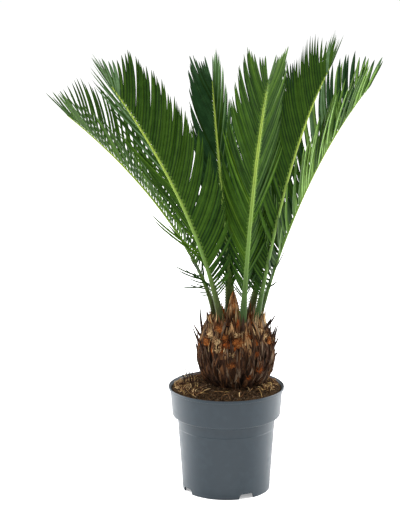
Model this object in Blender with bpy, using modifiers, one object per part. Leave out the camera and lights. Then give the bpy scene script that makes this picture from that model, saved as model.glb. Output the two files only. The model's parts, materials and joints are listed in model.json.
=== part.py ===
"""Young sago palm in a round tapered nursery pot, as separate closed solids.

The frame has +Z up and its origin in the middle of the pot's flat underside.
The front of the plant faces -Y. Lengths are in metres, angles in degrees.
"""

import itertools
import math
import random
from dataclasses import dataclass

import bmesh
import bpy
from mathutils import Matrix, Vector
from mathutils.bvhtree import BVHTree

MM = 0.001
GOLDEN_ANGLE = 137.508
CLEARANCE = 0.3 * MM

# Pot: outer radii and heights of its turned outline
POT_HEIGHT = 156 * MM
POT_WALL = 1.6 * MM
FOOT_RADIUS = 64 * MM
BODY_TOP_RADIUS = 72 * MM
BODY_TOP = 108 * MM
BAND_RADIUS = 79.5 * MM
BAND_BOTTOM = 115 * MM
BAND_TOP_RADIUS = 82.5 * MM
LIP_RADIUS = 85 * MM
LIP_HEIGHT = 4 * MM
EDGE = 0.6 * MM
INNER_DROP = 1 * MM
POT_STEPS = 40

# Pot: raised channel of the underside, its drain holes and the foot notches
CHANNEL_HEIGHT = 8 * MM
PAD_RADIUS = 36 * MM
CHANNEL_RADIUS = 62 * MM
CHANNEL_SLOPE = 2 * MM
DRAIN_COUNT = 8
DRAIN_RADIUS = 4.5 * MM
DRAIN_CIRCLE = 50 * MM
DRAIN_SIDES = 10
NOTCH_COUNT = 4
NOTCH_DEPTH = 14 * MM
NOTCH_WIDTH = 28 * MM
NOTCH_HEIGHT = 7.4 * MM
NOTCH_CORNER = 3 * MM
FIRST_NOTCH = -62

# Soil: a low mound that rises from the wall to the foot of the trunk
SOIL_EDGE = 153 * MM
SOIL_RISE = 12 * MM
SOIL_LUMP = 0.7 * MM
SOIL_CALM_EDGE = 12 * MM
SOIL_INNER_RADIUS = 42 * MM
SOIL_RINGS = (0, 20, 36, 46, 56, 66, 75)
SOIL_STEPS = 30

# Trunk: a barrel of old leaf bases, a little off the pot's axis
TRUNK_X = 14 * MM
TRUNK_SEAT = 158 * MM
TRUNK_TOP = 256 * MM
TRUNK_PROFILE = (
    (37, 158.3),
    (39.5, 166),
    (47, 175),
    (52, 190),
    (53, 207),
    (49, 228),
    (41.5, 245),
    (38.5, 256),
)
TRUNK_STEPS = 24
SEAT_CLEARANCE = 2 * MM

# Old leaf bases on the trunk: blunt wedges in a spiral
SCALE_COUNT = 40
SCALE_LOW = 173 * MM
SCALE_HIGH = 247 * MM
SCALE_RISE = (42, 68)
SCALE_LENGTH = 16 * MM
SCALE_WIDTH = 24 * MM
SCALE_THICKNESS = 9 * MM
SCALE_SINK = 4 * MM
SCALE_OUTLINE = ((0, 1.0, 1.0), (0.55, 0.8, 0.8), (1, 0.3, 0.35))

# Dead stubs that stand out of the leaf bases
SPINE_COUNT = 16
SPINE_START = 20
SPINE_LOW = 198 * MM
SPINE_HIGH = 248 * MM
SPINE_RISE = (56, 72)
SPINE_LENGTH = (20, 30)
SPINE_RADIUS = 1.3 * MM

# Dry pointed scales outside and inside the ring of stalks
OUTER_SHEATH_COUNT = 12
OUTER_SHEATH_RADIUS = 38.5 * MM
OUTER_SHEATH_FOOT = 243 * MM
OUTER_SHEATH_RISE = (76, 84)
OUTER_SHEATH_LENGTH = (22, 30)
OUTER_SHEATH_HALF = (4.2 * MM, 1.5 * MM)
INNER_SHEATH_COUNT = 7
INNER_SHEATH_RADIUS = 21 * MM
INNER_SHEATH_START = 12
INNER_SHEATH_LENGTH = (26, 38)
INNER_SHEATH_HALF = (2.6 * MM, 1.4 * MM)
SHEATH_SINK = 6 * MM

# Bud: the pointed cone of young scales in the middle of the crown
BUD_X = 10 * MM
BUD_Y = -6 * MM
BUD_RADIUS = 11 * MM
BUD_HEIGHT = 44 * MM
BUD_CORE = 0.8
BUD_OUTLINE = ((0, 1.0), (0.35, 0.85), (0.7, 0.5), (0.92, 0.16))
BUD_SCALE_COUNT = 6
BUD_SCALE_REACH = (0.6, 1.0)
BUD_SCALE_HALF = (3.4 * MM, 2 * MM)
BUD_SCALE_SWELL = 1.6 * MM

# Fronds: leaflets in two rows along an arching rib
LEAFLET_PAIRS = 25
FIRST_LEAFLET = 0.12
LAST_LEAFLET = 0.985
STAGGER = 0.17
LEAFLET_THICKNESS = 1.25 * MM
LEAFLET_CURL = 0.35
LEAFLET_OUTLINE = ((0, 0.75), (0.5, 1.0), (1, 0))
ROOT_OFFSET = 0.35
RIB_SEGMENTS = 12
RIB_SIDES = 6
LEAFLET_SPACE = 0.5 * MM
REACHES = (1.0, 0.82, 0.64, 0.48)


@dataclass(frozen=True)
class Frond:
    """One frond: where its stalk stands and how its rib arches."""

    name: str
    azimuth: float
    foot_radius: float
    lean_foot: float
    lean_tip: float
    bend: float
    sweep: float
    length: float
    roll: float = 0.0
    rise: float = 45.0
    spread: float = 1.0
    fullness: float = 1.0


FRONDS = (
    Frond("frond_front", 286, 33 * MM, 12, 40, 1.6, -7, 425 * MM, spread=0.88, fullness=1.05),
    Frond("frond_front_left", 226, 31 * MM, 11.5, 39.5, 0.6, -5, 430 * MM, roll=30, rise=35, fullness=1.08),
    Frond("frond_front_right", 330, 33 * MM, 12, 29, 2.2, -4, 410 * MM, spread=1.05),
    Frond("frond_left", 171, 30 * MM, 6.5, 52.5, 0.53, 0, 375 * MM, spread=1.08),
    Frond("frond_right", 8, 32.5 * MM, 17, 38.5, 1.6, 0, 381 * MM, spread=1.08),
    Frond("frond_back", 103, 33 * MM, 8, 47, 0.6, -8, 376 * MM, roll=-22, spread=0.95),
    Frond("frond_back_right", 51, 33 * MM, 20, 33, 1.0, 22, 350 * MM),
)

# Shares along the rib, each with the value that holds there
RIB_HALF_WIDTH = ((0, 4.6), (0.05, 4.0), (0.2, 3.5), (0.5, 2.8), (0.8, 1.9), (1, 1.1))
RIB_DEPTH_SHARE = 0.8
LEAFLET_LENGTH = (
    (0, 10),
    (0.12, 22),
    (0.2, 56),
    (0.34, 108),
    (0.45, 118),
    (0.7, 110),
    (0.88, 92),
    (0.95, 70),
    (1, 42),
)
LEAFLET_ANGLE = ((0, 74), (0.14, 62), (0.25, 50), (0.4, 41), (0.7, 36), (0.9, 32), (1, 22))
LEAFLET_WIDTH = ((0, 2.6), (0.12, 3.8), (0.25, 6.0), (0.7, 6.0), (0.9, 4.6), (1, 3.0))


def blend(table, share):
    """Value of a table of (share, value) pairs at one share, straight between them."""
    for (low, first), (high, last) in zip(table, table[1:]):
        if share <= high:
            return first + (last - first) * (share - low) / (high - low)
    return table[-1][1]


def polar(radius, azimuth, height):
    """Point at a radius and azimuth about the vertical axis."""
    angle = math.radians(azimuth)
    return Vector((radius * math.cos(angle), radius * math.sin(angle), height))


def make_material(name, colour, roughness):
    """Plain Principled material."""
    material = bpy.data.materials.new(name)
    material.use_nodes = True
    shader = material.node_tree.nodes["Principled BSDF"]
    shader.inputs["Base Color"].default_value = (*colour, 1.0)
    shader.inputs["Roughness"].default_value = roughness
    material.diffuse_color = (*colour, 1.0)
    return material


def make_collection(name):
    """New collection in the scene."""
    collection = bpy.data.collections.new(name)
    bpy.context.scene.collection.children.link(collection)
    return collection


def object_from_bmesh(shape, name, collection, material=None):
    """Turn a bmesh into a named object."""
    mesh = bpy.data.meshes.new(name)
    shape.to_mesh(mesh)
    shape.free()
    made = bpy.data.objects.new(name, mesh)
    if material:
        mesh.materials.append(material)
    collection.objects.link(made)
    return made


def apply_modifiers(made):
    """Bake an object's modifiers into its mesh."""
    graph = bpy.context.evaluated_depsgraph_get()
    baked = bpy.data.meshes.new_from_object(made.evaluated_get(graph))
    made.modifiers.clear()
    made.data = baked


def remove_collection(collection):
    """Delete a collection with its objects."""
    for item in list(collection.objects):
        bpy.data.objects.remove(item, do_unlink=True)
    bpy.data.collections.remove(collection)


def turned(name, outline, steps, collection, material):
    """Turn an outline of (radius, height) points about Z with a Screw modifier."""
    shape = bmesh.new()
    points = [shape.verts.new((radius, 0, height)) for radius, height in outline]
    for first, last in zip(points, points[1:]):
        shape.edges.new((first, last))
    made = object_from_bmesh(shape, name, collection, material)
    screw = made.modifiers.new("turn", "SCREW")
    screw.steps = steps
    screw.render_steps = steps
    screw.use_merge_vertices = True
    screw.merge_threshold = 0.01 * MM
    screw.use_smooth_shade = False
    return made


def boolean(made, operation, collection):
    """Cut or join an object with every object of a collection, then drop them."""
    modifier = made.modifiers.new(operation.lower(), "BOOLEAN")
    modifier.operation = operation
    modifier.operand_type = "COLLECTION"
    modifier.collection = collection
    modifier.solver = "EXACT"
    apply_modifiers(made)
    remove_collection(collection)


def keep_largest_body(made):
    """Drop loose scraps, so that the solid is one closed body."""
    shape = bmesh.new()
    shape.from_mesh(made.data)
    unseen = set(shape.verts)
    bodies = []
    while unseen:
        body = set()
        waiting = [unseen.pop()]
        while waiting:
            vertex = waiting.pop()
            body.add(vertex)
            fresh = {edge.other_vert(vertex) for edge in vertex.link_edges} & unseen
            unseen -= fresh
            waiting.extend(fresh)
        bodies.append(body)
    largest = max(bodies, key=len)
    scraps = [vertex for vertex in shape.verts if vertex not in largest]
    bmesh.ops.delete(shape, geom=scraps, context="VERTS")
    bmesh.ops.triangulate(shape, faces=shape.faces)
    shape.to_mesh(made.data)
    shape.free()


def loft(rings):
    """Closed bmesh through rings of points; a ring of one point is a tip."""
    shape = bmesh.new()
    loops = [[shape.verts.new(point) for point in ring] for ring in rings]
    for lower, upper in zip(loops, loops[1:]):
        count = len(lower)
        for index in range(count):
            following = (index + 1) % count
            if len(upper) == 1:
                shape.faces.new((lower[index], lower[following], upper[0]))
            else:
                shape.faces.new((lower[index], lower[following], upper[following], upper[index]))
    shape.faces.new(loops[0])
    if len(loops[-1]) > 1:
        shape.faces.new(loops[-1])
    bmesh.ops.recalc_face_normals(shape, faces=shape.faces)
    return shape


def diamond(centre, side, front, half_width, half_depth):
    """Four-cornered ring about a point."""
    return (
        centre + side * half_width,
        centre + front * half_depth,
        centre - side * half_width,
        centre - front * half_depth,
    )


def spike(foot, direction, length, half_width, half_depth, side):
    """Pointed four-sided scale that narrows faster towards its tip."""
    front = direction.cross(side).normalized()
    middle = foot + direction * length * 0.4
    rings = (
        diamond(foot, side, front, half_width, half_depth),
        diamond(middle, side, front, half_width * 0.85, half_depth * 0.85),
        (foot + direction * length,),
    )
    return loft(rings)


def rising(azimuth, rise):
    """Direction at an azimuth that rises by an angle from the level."""
    angle = math.radians(rise)
    return polar(math.cos(angle), azimuth, math.sin(angle))


# Pot


def pot_outline():
    """Outline of the pot from the middle of its floor, over the lip, to its underside."""
    inner_floor = CHANNEL_HEIGHT + POT_WALL
    lip_bottom = POT_HEIGHT - LIP_HEIGHT
    return (
        (0, POT_WALL),
        (PAD_RADIUS - POT_WALL, POT_WALL),
        (PAD_RADIUS - POT_WALL + CHANNEL_SLOPE, inner_floor),
        (FOOT_RADIUS - POT_WALL, inner_floor),
        (BODY_TOP_RADIUS - POT_WALL, BODY_TOP - INNER_DROP),
        (BAND_RADIUS - POT_WALL, BAND_BOTTOM - INNER_DROP),
        (BAND_TOP_RADIUS - POT_WALL, lip_bottom - INNER_DROP),
        (LIP_RADIUS - POT_WALL - EDGE, POT_HEIGHT - POT_WALL),
        (LIP_RADIUS - POT_WALL, POT_HEIGHT),
        (LIP_RADIUS - EDGE, POT_HEIGHT),
        (LIP_RADIUS, POT_HEIGHT - EDGE),
        (LIP_RADIUS, lip_bottom + EDGE),
        (LIP_RADIUS - EDGE, lip_bottom),
        (BAND_TOP_RADIUS, lip_bottom - EDGE),
        (BAND_RADIUS, BAND_BOTTOM),
        (BAND_RADIUS - EDGE, BAND_BOTTOM - 2 * EDGE),
        (BODY_TOP_RADIUS + EDGE, BODY_TOP + EDGE),
        (BODY_TOP_RADIUS, BODY_TOP - EDGE),
        (FOOT_RADIUS, EDGE),
        (FOOT_RADIUS - EDGE, 0),
        (CHANNEL_RADIUS - EDGE, 0),
        (CHANNEL_RADIUS, CHANNEL_HEIGHT),
        (PAD_RADIUS + CHANNEL_SLOPE, CHANNEL_HEIGHT),
        (PAD_RADIUS, 0),
        (0, 0),
    )


def add_box(collection, size, place, azimuth):
    """Box cutter that is turned about Z."""
    shape = bmesh.new()
    bmesh.ops.create_cube(shape, size=1, matrix=Matrix.Diagonal((*size, 1)))
    top_edges = [edge for edge in shape.edges if is_top_side(edge)]
    bmesh.ops.bevel(shape, geom=top_edges, offset=NOTCH_CORNER, segments=2, affect="EDGES")
    turn = Matrix.Rotation(math.radians(azimuth), 4, "Z")
    bmesh.ops.transform(shape, matrix=turn @ Matrix.Translation(place), verts=shape.verts)
    object_from_bmesh(shape, "cutter", collection)


def is_top_side(edge):
    """Whether an edge of the box cutter runs out along X at the top."""
    first, last = (vertex.co for vertex in edge.verts)
    return first.z > 0 and last.z > 0 and abs(first.x - last.x) > abs(first.y - last.y)


def build_pot(parts):
    """Tapered pot with a band, a lip, foot notches and drain holes."""
    plastic = make_material("pot_plastic", (0.075, 0.105, 0.135), 0.45)
    pot = turned("pot", pot_outline(), POT_STEPS, parts, plastic)
    apply_modifiers(pot)
    cutters = make_collection("pot_cutters")
    for index in range(NOTCH_COUNT):
        azimuth = FIRST_NOTCH + index * 360 / NOTCH_COUNT
        size = (NOTCH_DEPTH, NOTCH_WIDTH, 2 * NOTCH_HEIGHT)
        add_box(cutters, size, Vector((FOOT_RADIUS, 0, 0)), azimuth)
    for index in range(DRAIN_COUNT):
        azimuth = FIRST_NOTCH + (index + 0.5) * 360 / DRAIN_COUNT
        shape = bmesh.new()
        place = Matrix.Translation(polar(DRAIN_CIRCLE, azimuth, CHANNEL_HEIGHT))
        bmesh.ops.create_cone(
            shape,
            cap_ends=True,
            segments=DRAIN_SIDES,
            radius1=DRAIN_RADIUS,
            radius2=DRAIN_RADIUS,
            depth=4 * POT_WALL,
            matrix=place,
        )
        object_from_bmesh(shape, "cutter", cutters)
    boolean(pot, "DIFFERENCE", cutters)
    return pot


# Soil


def soil_height(x, y):
    """Height of the soil: low at the wall, higher round the foot of the trunk."""
    wall = BAND_TOP_RADIUS - POT_WALL
    from_wall = max(wall - math.hypot(x, y), 0)
    from_trunk = max(math.hypot(x - TRUNK_X, y) - SOIL_INNER_RADIUS, 0)
    share = from_wall / (from_wall + from_trunk)
    waves = math.sin(x * 190 + 1.3) * math.cos(y * 170 - 0.6) + math.sin((x + y) * 260)
    lump = SOIL_LUMP * waves * min(from_wall / SOIL_CALM_EDGE, 1)
    return SOIL_EDGE + SOIL_RISE * share**0.8 + lump


def build_soil(parts):
    """Body of soil that fills the pot, with a seat for the trunk."""
    peat = make_material("soil_peat", (0.055, 0.033, 0.02), 0.95)
    gap = POT_WALL + CLEARANCE
    floor = CHANNEL_HEIGHT + gap
    outline = [(radius * MM, SOIL_EDGE) for radius in SOIL_RINGS]
    outline += [
        (BAND_TOP_RADIUS - gap - EDGE, SOIL_EDGE),
        (BAND_RADIUS - gap, BAND_BOTTOM - INNER_DROP),
        (BODY_TOP_RADIUS - gap, BODY_TOP - INNER_DROP),
        (FOOT_RADIUS - gap, floor),
        (PAD_RADIUS - gap + CHANNEL_SLOPE, floor),
        (PAD_RADIUS - gap, gap),
        (0, gap),
    ]
    soil = turned("soil", outline, SOIL_STEPS, parts, peat)
    apply_modifiers(soil)
    for vertex in soil.data.vertices:
        if vertex.co.z > SOIL_EDGE - CLEARANCE:
            vertex.co.z = soil_height(vertex.co.x, vertex.co.y)
    cutters = make_collection("soil_cutters")
    shape = bmesh.new()
    depth = 3 * SOIL_RISE
    place = Matrix.Translation((TRUNK_X, 0, TRUNK_SEAT + depth / 2))
    radius = TRUNK_PROFILE[1][0] * MM + SEAT_CLEARANCE
    bmesh.ops.create_cone(
        shape,
        cap_ends=True,
        segments=TRUNK_STEPS,
        radius1=radius,
        radius2=radius,
        depth=depth,
        matrix=place,
    )
    object_from_bmesh(shape, "cutter", cutters)
    boolean(soil, "DIFFERENCE", cutters)
    return soil


# Trunk and bud


def trunk_radius(height):
    """Radius of the trunk's core at a height."""
    table = [(z * MM, radius * MM) for radius, z in TRUNK_PROFILE]
    return blend(table, height)


def on_trunk(radius, azimuth, height):
    """Point at a radius and azimuth about the trunk's own axis."""
    return polar(radius, azimuth, height) + Vector((TRUNK_X, 0, 0))


def add_scales(collection):
    """Old leaf bases in a spiral, each a blunt wedge that points up and out."""
    for index in range(SCALE_COUNT):
        share = index / (SCALE_COUNT - 1)
        azimuth = index * GOLDEN_ANGLE
        height = SCALE_LOW + (SCALE_HIGH - SCALE_LOW) * share
        side = polar(1, azimuth + 90, 0)
        direction = rising(azimuth, SCALE_RISE[0] + (SCALE_RISE[1] - SCALE_RISE[0]) * share)
        front = direction.cross(side).normalized()
        foot = on_trunk(trunk_radius(height) - SCALE_SINK, azimuth, height - SCALE_SINK)
        rings = []
        for station, width, thickness in SCALE_OUTLINE:
            centre = foot + direction * SCALE_LENGTH * station
            half_width = SCALE_WIDTH / 2 * width
            half_depth = SCALE_THICKNESS / 2 * thickness
            rings.append(diamond(centre, side, front, half_width, half_depth))
        object_from_bmesh(loft(rings), "scale", collection)


def add_spines(collection):
    """Dark dead stubs that stand out of the leaf bases, all round the trunk."""
    chance = random.Random(5)
    for index in range(SPINE_COUNT):
        azimuth = index * GOLDEN_ANGLE + SPINE_START
        height = SPINE_LOW + (SPINE_HIGH - SPINE_LOW) * index / (SPINE_COUNT - 1)
        direction = rising(azimuth, chance.uniform(*SPINE_RISE))
        length = chance.uniform(*SPINE_LENGTH) * MM
        foot = on_trunk(trunk_radius(height) - SPINE_RADIUS, azimuth, height)
        side = polar(1, azimuth + 90, 0)
        shape = spike(foot, direction, length, SPINE_RADIUS, SPINE_RADIUS, side)
        object_from_bmesh(shape, "spine", collection)


def add_sheaths(collection):
    """Pointed dry scales outside and inside the ring of stalks."""
    chance = random.Random(8)
    for index in range(OUTER_SHEATH_COUNT):
        azimuth = index * 360 / OUTER_SHEATH_COUNT + chance.uniform(-5, 5)
        direction = rising(azimuth, chance.uniform(*OUTER_SHEATH_RISE))
        length = chance.uniform(*OUTER_SHEATH_LENGTH) * MM
        foot = on_trunk(OUTER_SHEATH_RADIUS, azimuth, OUTER_SHEATH_FOOT)
        side = polar(1, azimuth + 90, 0)
        shape = spike(foot, direction, length, *OUTER_SHEATH_HALF, side)
        object_from_bmesh(shape, "outer_sheath", collection)
    for index in range(INNER_SHEATH_COUNT):
        azimuth = index * 360 / INNER_SHEATH_COUNT + INNER_SHEATH_START
        length = chance.uniform(*INNER_SHEATH_LENGTH) * MM
        foot = on_trunk(INNER_SHEATH_RADIUS, azimuth, TRUNK_TOP - SHEATH_SINK)
        side = polar(1, azimuth + 90, 0)
        shape = spike(foot, rising(azimuth, 90), length, *INNER_SHEATH_HALF, side)
        object_from_bmesh(shape, "inner_sheath", collection)


def build_trunk(parts):
    """Barrel-shaped trunk, clad in leaf bases, with a flat foot and a flat top."""
    bark = make_material("trunk_bark", (0.16, 0.085, 0.04), 0.9)
    outline = [(radius * MM, height * MM) for radius, height in reversed(TRUNK_PROFILE)]
    outline = [(0, outline[0][1]), *outline, (0, outline[-1][1])]
    trunk = turned("trunk", outline, TRUNK_STEPS, parts, bark)
    apply_modifiers(trunk)
    for vertex in trunk.data.vertices:
        vertex.co.x += TRUNK_X
    additions = make_collection("trunk_additions")
    add_scales(additions)
    add_spines(additions)
    add_sheaths(additions)
    boolean(trunk, "UNION", additions)
    keep_largest_body(trunk)
    return trunk


def build_bud(parts):
    """Pointed cone of young scales on the flat top of the trunk."""
    husk = make_material("bud_husk", (0.30, 0.17, 0.08), 0.85)
    foot = Vector((BUD_X, BUD_Y, TRUNK_TOP + CLEARANCE))
    rings = []
    for share, width in BUD_OUTLINE:
        radius = BUD_RADIUS * BUD_CORE * width
        height = BUD_HEIGHT * share
        rings.append([foot + polar(radius, index * 60, height) for index in range(6)])
    bud = object_from_bmesh(loft(rings), "crown_bud", parts, husk)
    additions = make_collection("bud_additions")
    chance = random.Random(3)
    for index in range(BUD_SCALE_COUNT):
        azimuth = index * 360 / BUD_SCALE_COUNT
        base = foot + polar(BUD_RADIUS * BUD_CORE, azimuth, 0)
        peak = foot + polar(BUD_RADIUS * 0.3, azimuth, BUD_HEIGHT * chance.uniform(*BUD_SCALE_REACH))
        side = polar(1, azimuth + 90, 0)
        object_from_bmesh(upright_scale(base, peak, side), "bud_scale", additions)
    boolean(bud, "UNION", additions)
    keep_largest_body(bud)
    return bud


def upright_scale(base, peak, side):
    """Narrow scale with a level foot that rises to a point."""
    outward = side.cross(Vector((0, 0, 1)))
    middle = base.lerp(peak, 0.45) + outward * BUD_SCALE_SWELL
    half_width, half_depth = BUD_SCALE_HALF
    rings = (
        diamond(base, side, outward, half_width, half_depth),
        diamond(middle, side, outward, half_width * 0.9, half_depth * 0.75),
        (peak,),
    )
    return loft(rings)


# Fronds


def rib_frames(frond, count):
    """Points along the rib, each with its direction, its cross axis and its upper side."""
    place = on_trunk(frond.foot_radius, frond.azimuth, TRUNK_TOP + CLEARANCE)
    frames = []
    for index in range(count + 1):
        share = index / count
        lean = frond.lean_foot + (frond.lean_tip - frond.lean_foot) * share**frond.bend
        azimuth = frond.azimuth + frond.sweep * share
        along = rising(azimuth, 90 - lean)
        across = polar(1, azimuth + 90, 0)
        upper = along.cross(across)
        turn = Matrix.Rotation(math.radians(frond.roll) * share, 3, along)
        if frames:
            place = place + (frames[-1][1] + along) * frond.length / count / 2
        frames.append((place, along, turn @ across, turn @ upper))
    return frames


def frame_at(frames, share):
    """Frame of the rib at a share of its length."""
    scaled = share * (len(frames) - 1)
    index = min(int(scaled), len(frames) - 2)
    rest = scaled - index
    return [low.lerp(high, rest) for low, high in zip(frames[index], frames[index + 1])]


def rib_shape(frames, growth=0.0):
    """Tapering rib with a level foot; growth makes it fatter."""
    rings = []
    for index in range(RIB_SEGMENTS + 1):
        share = index / RIB_SEGMENTS
        place, along, across, upper = frame_at(frames, share)
        half_width = blend(RIB_HALF_WIDTH, share) * MM + growth
        half_depth = half_width * RIB_DEPTH_SHARE
        if index == 0:
            upper = Vector((upper.x, upper.y, 0)).normalized()
        ring = []
        for side in range(RIB_SIDES):
            angle = 2 * math.pi * side / RIB_SIDES
            offset = across * half_width * math.cos(angle) + upper * half_depth * math.sin(angle)
            ring.append(place + offset)
        rings.append(ring)
    return loft(rings)


def leaflet_shape(frond, frames, share, side, reach, growth=0.0):
    """Flat pointed leaflet with a keel, rooted in the rib and curled to the tip."""
    root, along, across, upper = frame_at(frames, share)
    angle = math.radians(blend(LEAFLET_ANGLE, share) * frond.spread)
    rise = math.radians(frond.rise)
    outward = across * side * math.cos(rise) + upper * math.sin(rise)
    length = blend(LEAFLET_LENGTH, share) * MM * reach * frond.fullness
    half_width = blend(LEAFLET_WIDTH, share) * MM / 2 + growth
    depth = LEAFLET_THICKNESS + growth
    root = root + across * side * blend(RIB_HALF_WIDTH, share) * MM * ROOT_OFFSET
    middle = along * (math.cos(angle) + LEAFLET_CURL / 2) + outward * math.sin(angle)
    middle.normalize()
    edge = (along - middle * along.dot(middle)).normalized()
    keel = middle.cross(edge).normalized() * side
    rings = []
    for station, share_of_width in LEAFLET_OUTLINE:
        direction = along * (math.cos(angle) + LEAFLET_CURL * station) + outward * math.sin(angle)
        place = root + direction.normalized() * length * station
        width = half_width * share_of_width
        rings.append((place + edge * width, place - edge * width, place + keel * depth))
    rings[-1] = (place + middle * growth,)
    return loft(rings)


def tree_of(shape):
    """Search tree of a bmesh, with its lowest and highest corners."""
    corners = [vertex.co.copy() for vertex in shape.verts]
    low = Vector(min(corner[axis] for corner in corners) for axis in range(3))
    high = Vector(max(corner[axis] for corner in corners) for axis in range(3))
    tree = BVHTree.FromBMesh(shape)
    return tree, low, high


def touches(first, second):
    """Whether two shapes, as tree_of gives them, cut each other."""
    for axis in range(3):
        if first[1][axis] > second[2][axis] or second[1][axis] > first[2][axis]:
            return False
    return bool(first[0].overlap(second[0]))


def fitting_leaflet(frond, frames, share, side, taken):
    """Reach and search tree of the longest leaflet clear of other fronds, or nothing."""
    others = [tree for name, tree in taken if name != frond.name]
    for reach in REACHES:
        shape = leaflet_shape(frond, frames, share, side, reach, LEAFLET_SPACE)
        tree = tree_of(shape)
        shape.free()
        if not any(touches(tree, other) for other in others):
            return reach, tree
    return None


def place_leaflets():
    """Choose each leaflet's reach so that no frond touches another."""
    frames = {frond.name: rib_frames(frond, RIB_SEGMENTS) for frond in FRONDS}
    taken = []
    for frond in FRONDS:
        shape = rib_shape(frames[frond.name], LEAFLET_SPACE)
        taken.append((frond.name, tree_of(shape)))
        shape.free()
    placed = {frond.name: [] for frond in FRONDS}
    pitch = (LAST_LEAFLET - FIRST_LEAFLET) / (LEAFLET_PAIRS - 1)
    for index in range(LEAFLET_PAIRS):
        for frond, side in itertools.product(FRONDS, (-1, 1)):
            share = FIRST_LEAFLET + (index + STAGGER * side) * pitch
            found = fitting_leaflet(frond, frames[frond.name], share, side, taken)
            if found:
                reach, tree = found
                taken.append((frond.name, tree))
                placed[frond.name].append((share, side, reach))
    return frames, placed


def build_fronds(parts):
    """Every frond as one solid: its rib joined with its leaflets."""
    frames, placed = place_leaflets()
    fronds = []
    for frond in FRONDS:
        green = make_material(frond.name + "_green", (0.045, 0.13, 0.02), 0.45)
        made = object_from_bmesh(rib_shape(frames[frond.name]), frond.name, parts, green)
        leaflets = make_collection(frond.name + "_leaflets")
        for share, side, reach in placed[frond.name]:
            shape = leaflet_shape(frond, frames[frond.name], share, side, reach)
            object_from_bmesh(shape, "leaflet", leaflets)
        boolean(made, "UNION", leaflets)
        keep_largest_body(made)
        fronds.append(made)
    return fronds


def main():
    """Clear the scene and build the plant."""
    for item in list(bpy.data.objects):
        bpy.data.objects.remove(item, do_unlink=True)
    parts = make_collection("potted_sago_palm")
    built = [build_pot(parts), build_soil(parts), build_trunk(parts), build_bud(parts)]
    built += build_fronds(parts)
    for made in built:
        made.data.shade_smooth()
        made.data.set_sharp_from_angle(angle=math.radians(32))


main()
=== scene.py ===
"""Young sago palm in its nursery pot: seven feather-like fronds over a barrel of old leaf bases.

The frame has +Z up and its origin in the middle of the pot's flat underside. The front of the
plant faces -Y. Lengths are in metres and angles in degrees. The ranges and tables that lengths
are drawn or read from are in millimetres.
"""

import json
import logging
import math
import random
from collections.abc import Iterator, Sequence
from dataclasses import dataclass, field, replace
from enum import Enum
from itertools import product

import bmesh
import bpy
from mathutils import Matrix, Vector, noise
from mathutils.bvhtree import BVHTree

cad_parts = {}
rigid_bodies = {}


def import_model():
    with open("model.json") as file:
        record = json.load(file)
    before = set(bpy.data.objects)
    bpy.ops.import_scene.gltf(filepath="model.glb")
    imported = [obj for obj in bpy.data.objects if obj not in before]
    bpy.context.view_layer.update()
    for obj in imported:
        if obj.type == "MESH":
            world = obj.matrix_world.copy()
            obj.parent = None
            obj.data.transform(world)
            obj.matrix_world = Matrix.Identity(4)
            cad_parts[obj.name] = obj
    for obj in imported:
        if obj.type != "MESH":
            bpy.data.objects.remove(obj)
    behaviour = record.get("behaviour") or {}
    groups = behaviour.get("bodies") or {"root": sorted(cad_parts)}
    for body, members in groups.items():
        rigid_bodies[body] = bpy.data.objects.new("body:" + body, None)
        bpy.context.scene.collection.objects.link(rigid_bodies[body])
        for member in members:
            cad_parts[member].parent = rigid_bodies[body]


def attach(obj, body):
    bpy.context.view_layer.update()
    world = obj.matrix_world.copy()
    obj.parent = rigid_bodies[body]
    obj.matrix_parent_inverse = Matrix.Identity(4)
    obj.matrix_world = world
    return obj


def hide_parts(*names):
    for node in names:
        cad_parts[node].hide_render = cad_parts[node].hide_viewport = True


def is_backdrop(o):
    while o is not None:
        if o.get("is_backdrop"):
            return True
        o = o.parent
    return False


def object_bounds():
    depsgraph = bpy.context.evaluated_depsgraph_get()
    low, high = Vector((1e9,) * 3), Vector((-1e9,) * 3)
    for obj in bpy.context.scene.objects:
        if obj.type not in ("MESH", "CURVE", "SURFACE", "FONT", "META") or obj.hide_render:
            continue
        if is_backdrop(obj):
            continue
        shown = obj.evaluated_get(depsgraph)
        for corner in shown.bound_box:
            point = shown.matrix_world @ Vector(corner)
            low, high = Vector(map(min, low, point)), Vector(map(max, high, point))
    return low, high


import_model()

CAD_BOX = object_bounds()
LOG = logging.getLogger("sago_palm")
MM = 0.001
BODY = "root"
GOLDEN_ANGLE = 137.508
CLEARANCE = 0.3 * MM
IMAGE_HEIGHT = 514

Colour = tuple[float, float, float]
Range = tuple[float, float]
Table = Sequence[tuple[float, float]]
Size = float | int | bpy.types.Material


class Slot(Enum):
    """Material slots of the record, one for each kind of piece."""

    PLASTIC = "pot_plastic"
    SOIL = "soil"
    BARK = "trunk_bark"
    HUSK = "bud_husk"
    GREEN = "frond_green"


# Small helpers


def blend(table: Table, share: float) -> float:
    """Read a table of (share, value) pairs at one share, straight between them.

    Args:
        table: Pairs in rising order of share.
        share: Where to read the table.

    Returns:
        The value that holds there.
    """
    for (low, first), (high, last) in zip(table, table[1:]):
        if share <= high:
            return first + (last - first) * (share - low) / (high - low)
    return table[-1][1]


def polar(radius: float, azimuth: float, height: float) -> Vector:
    """Return the point at a radius, azimuth and height about the vertical axis."""
    angle = math.radians(azimuth)
    return Vector((radius * math.cos(angle), radius * math.sin(angle), height))


def rising(azimuth: float, rise: float) -> Vector:
    """Return the direction at an azimuth that rises by an angle from the level."""
    angle = math.radians(rise)
    return polar(math.cos(angle), azimuth, math.sin(angle))


def drawn(chance: random.Random, span: Range) -> float:
    """Draw a length from a range in millimetres, and return it in metres."""
    return chance.uniform(*span) * MM


def swing(chance: random.Random, most: float) -> float:
    """Draw a stray to either side, of no more than an amount."""
    return chance.uniform(-most, most)


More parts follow.
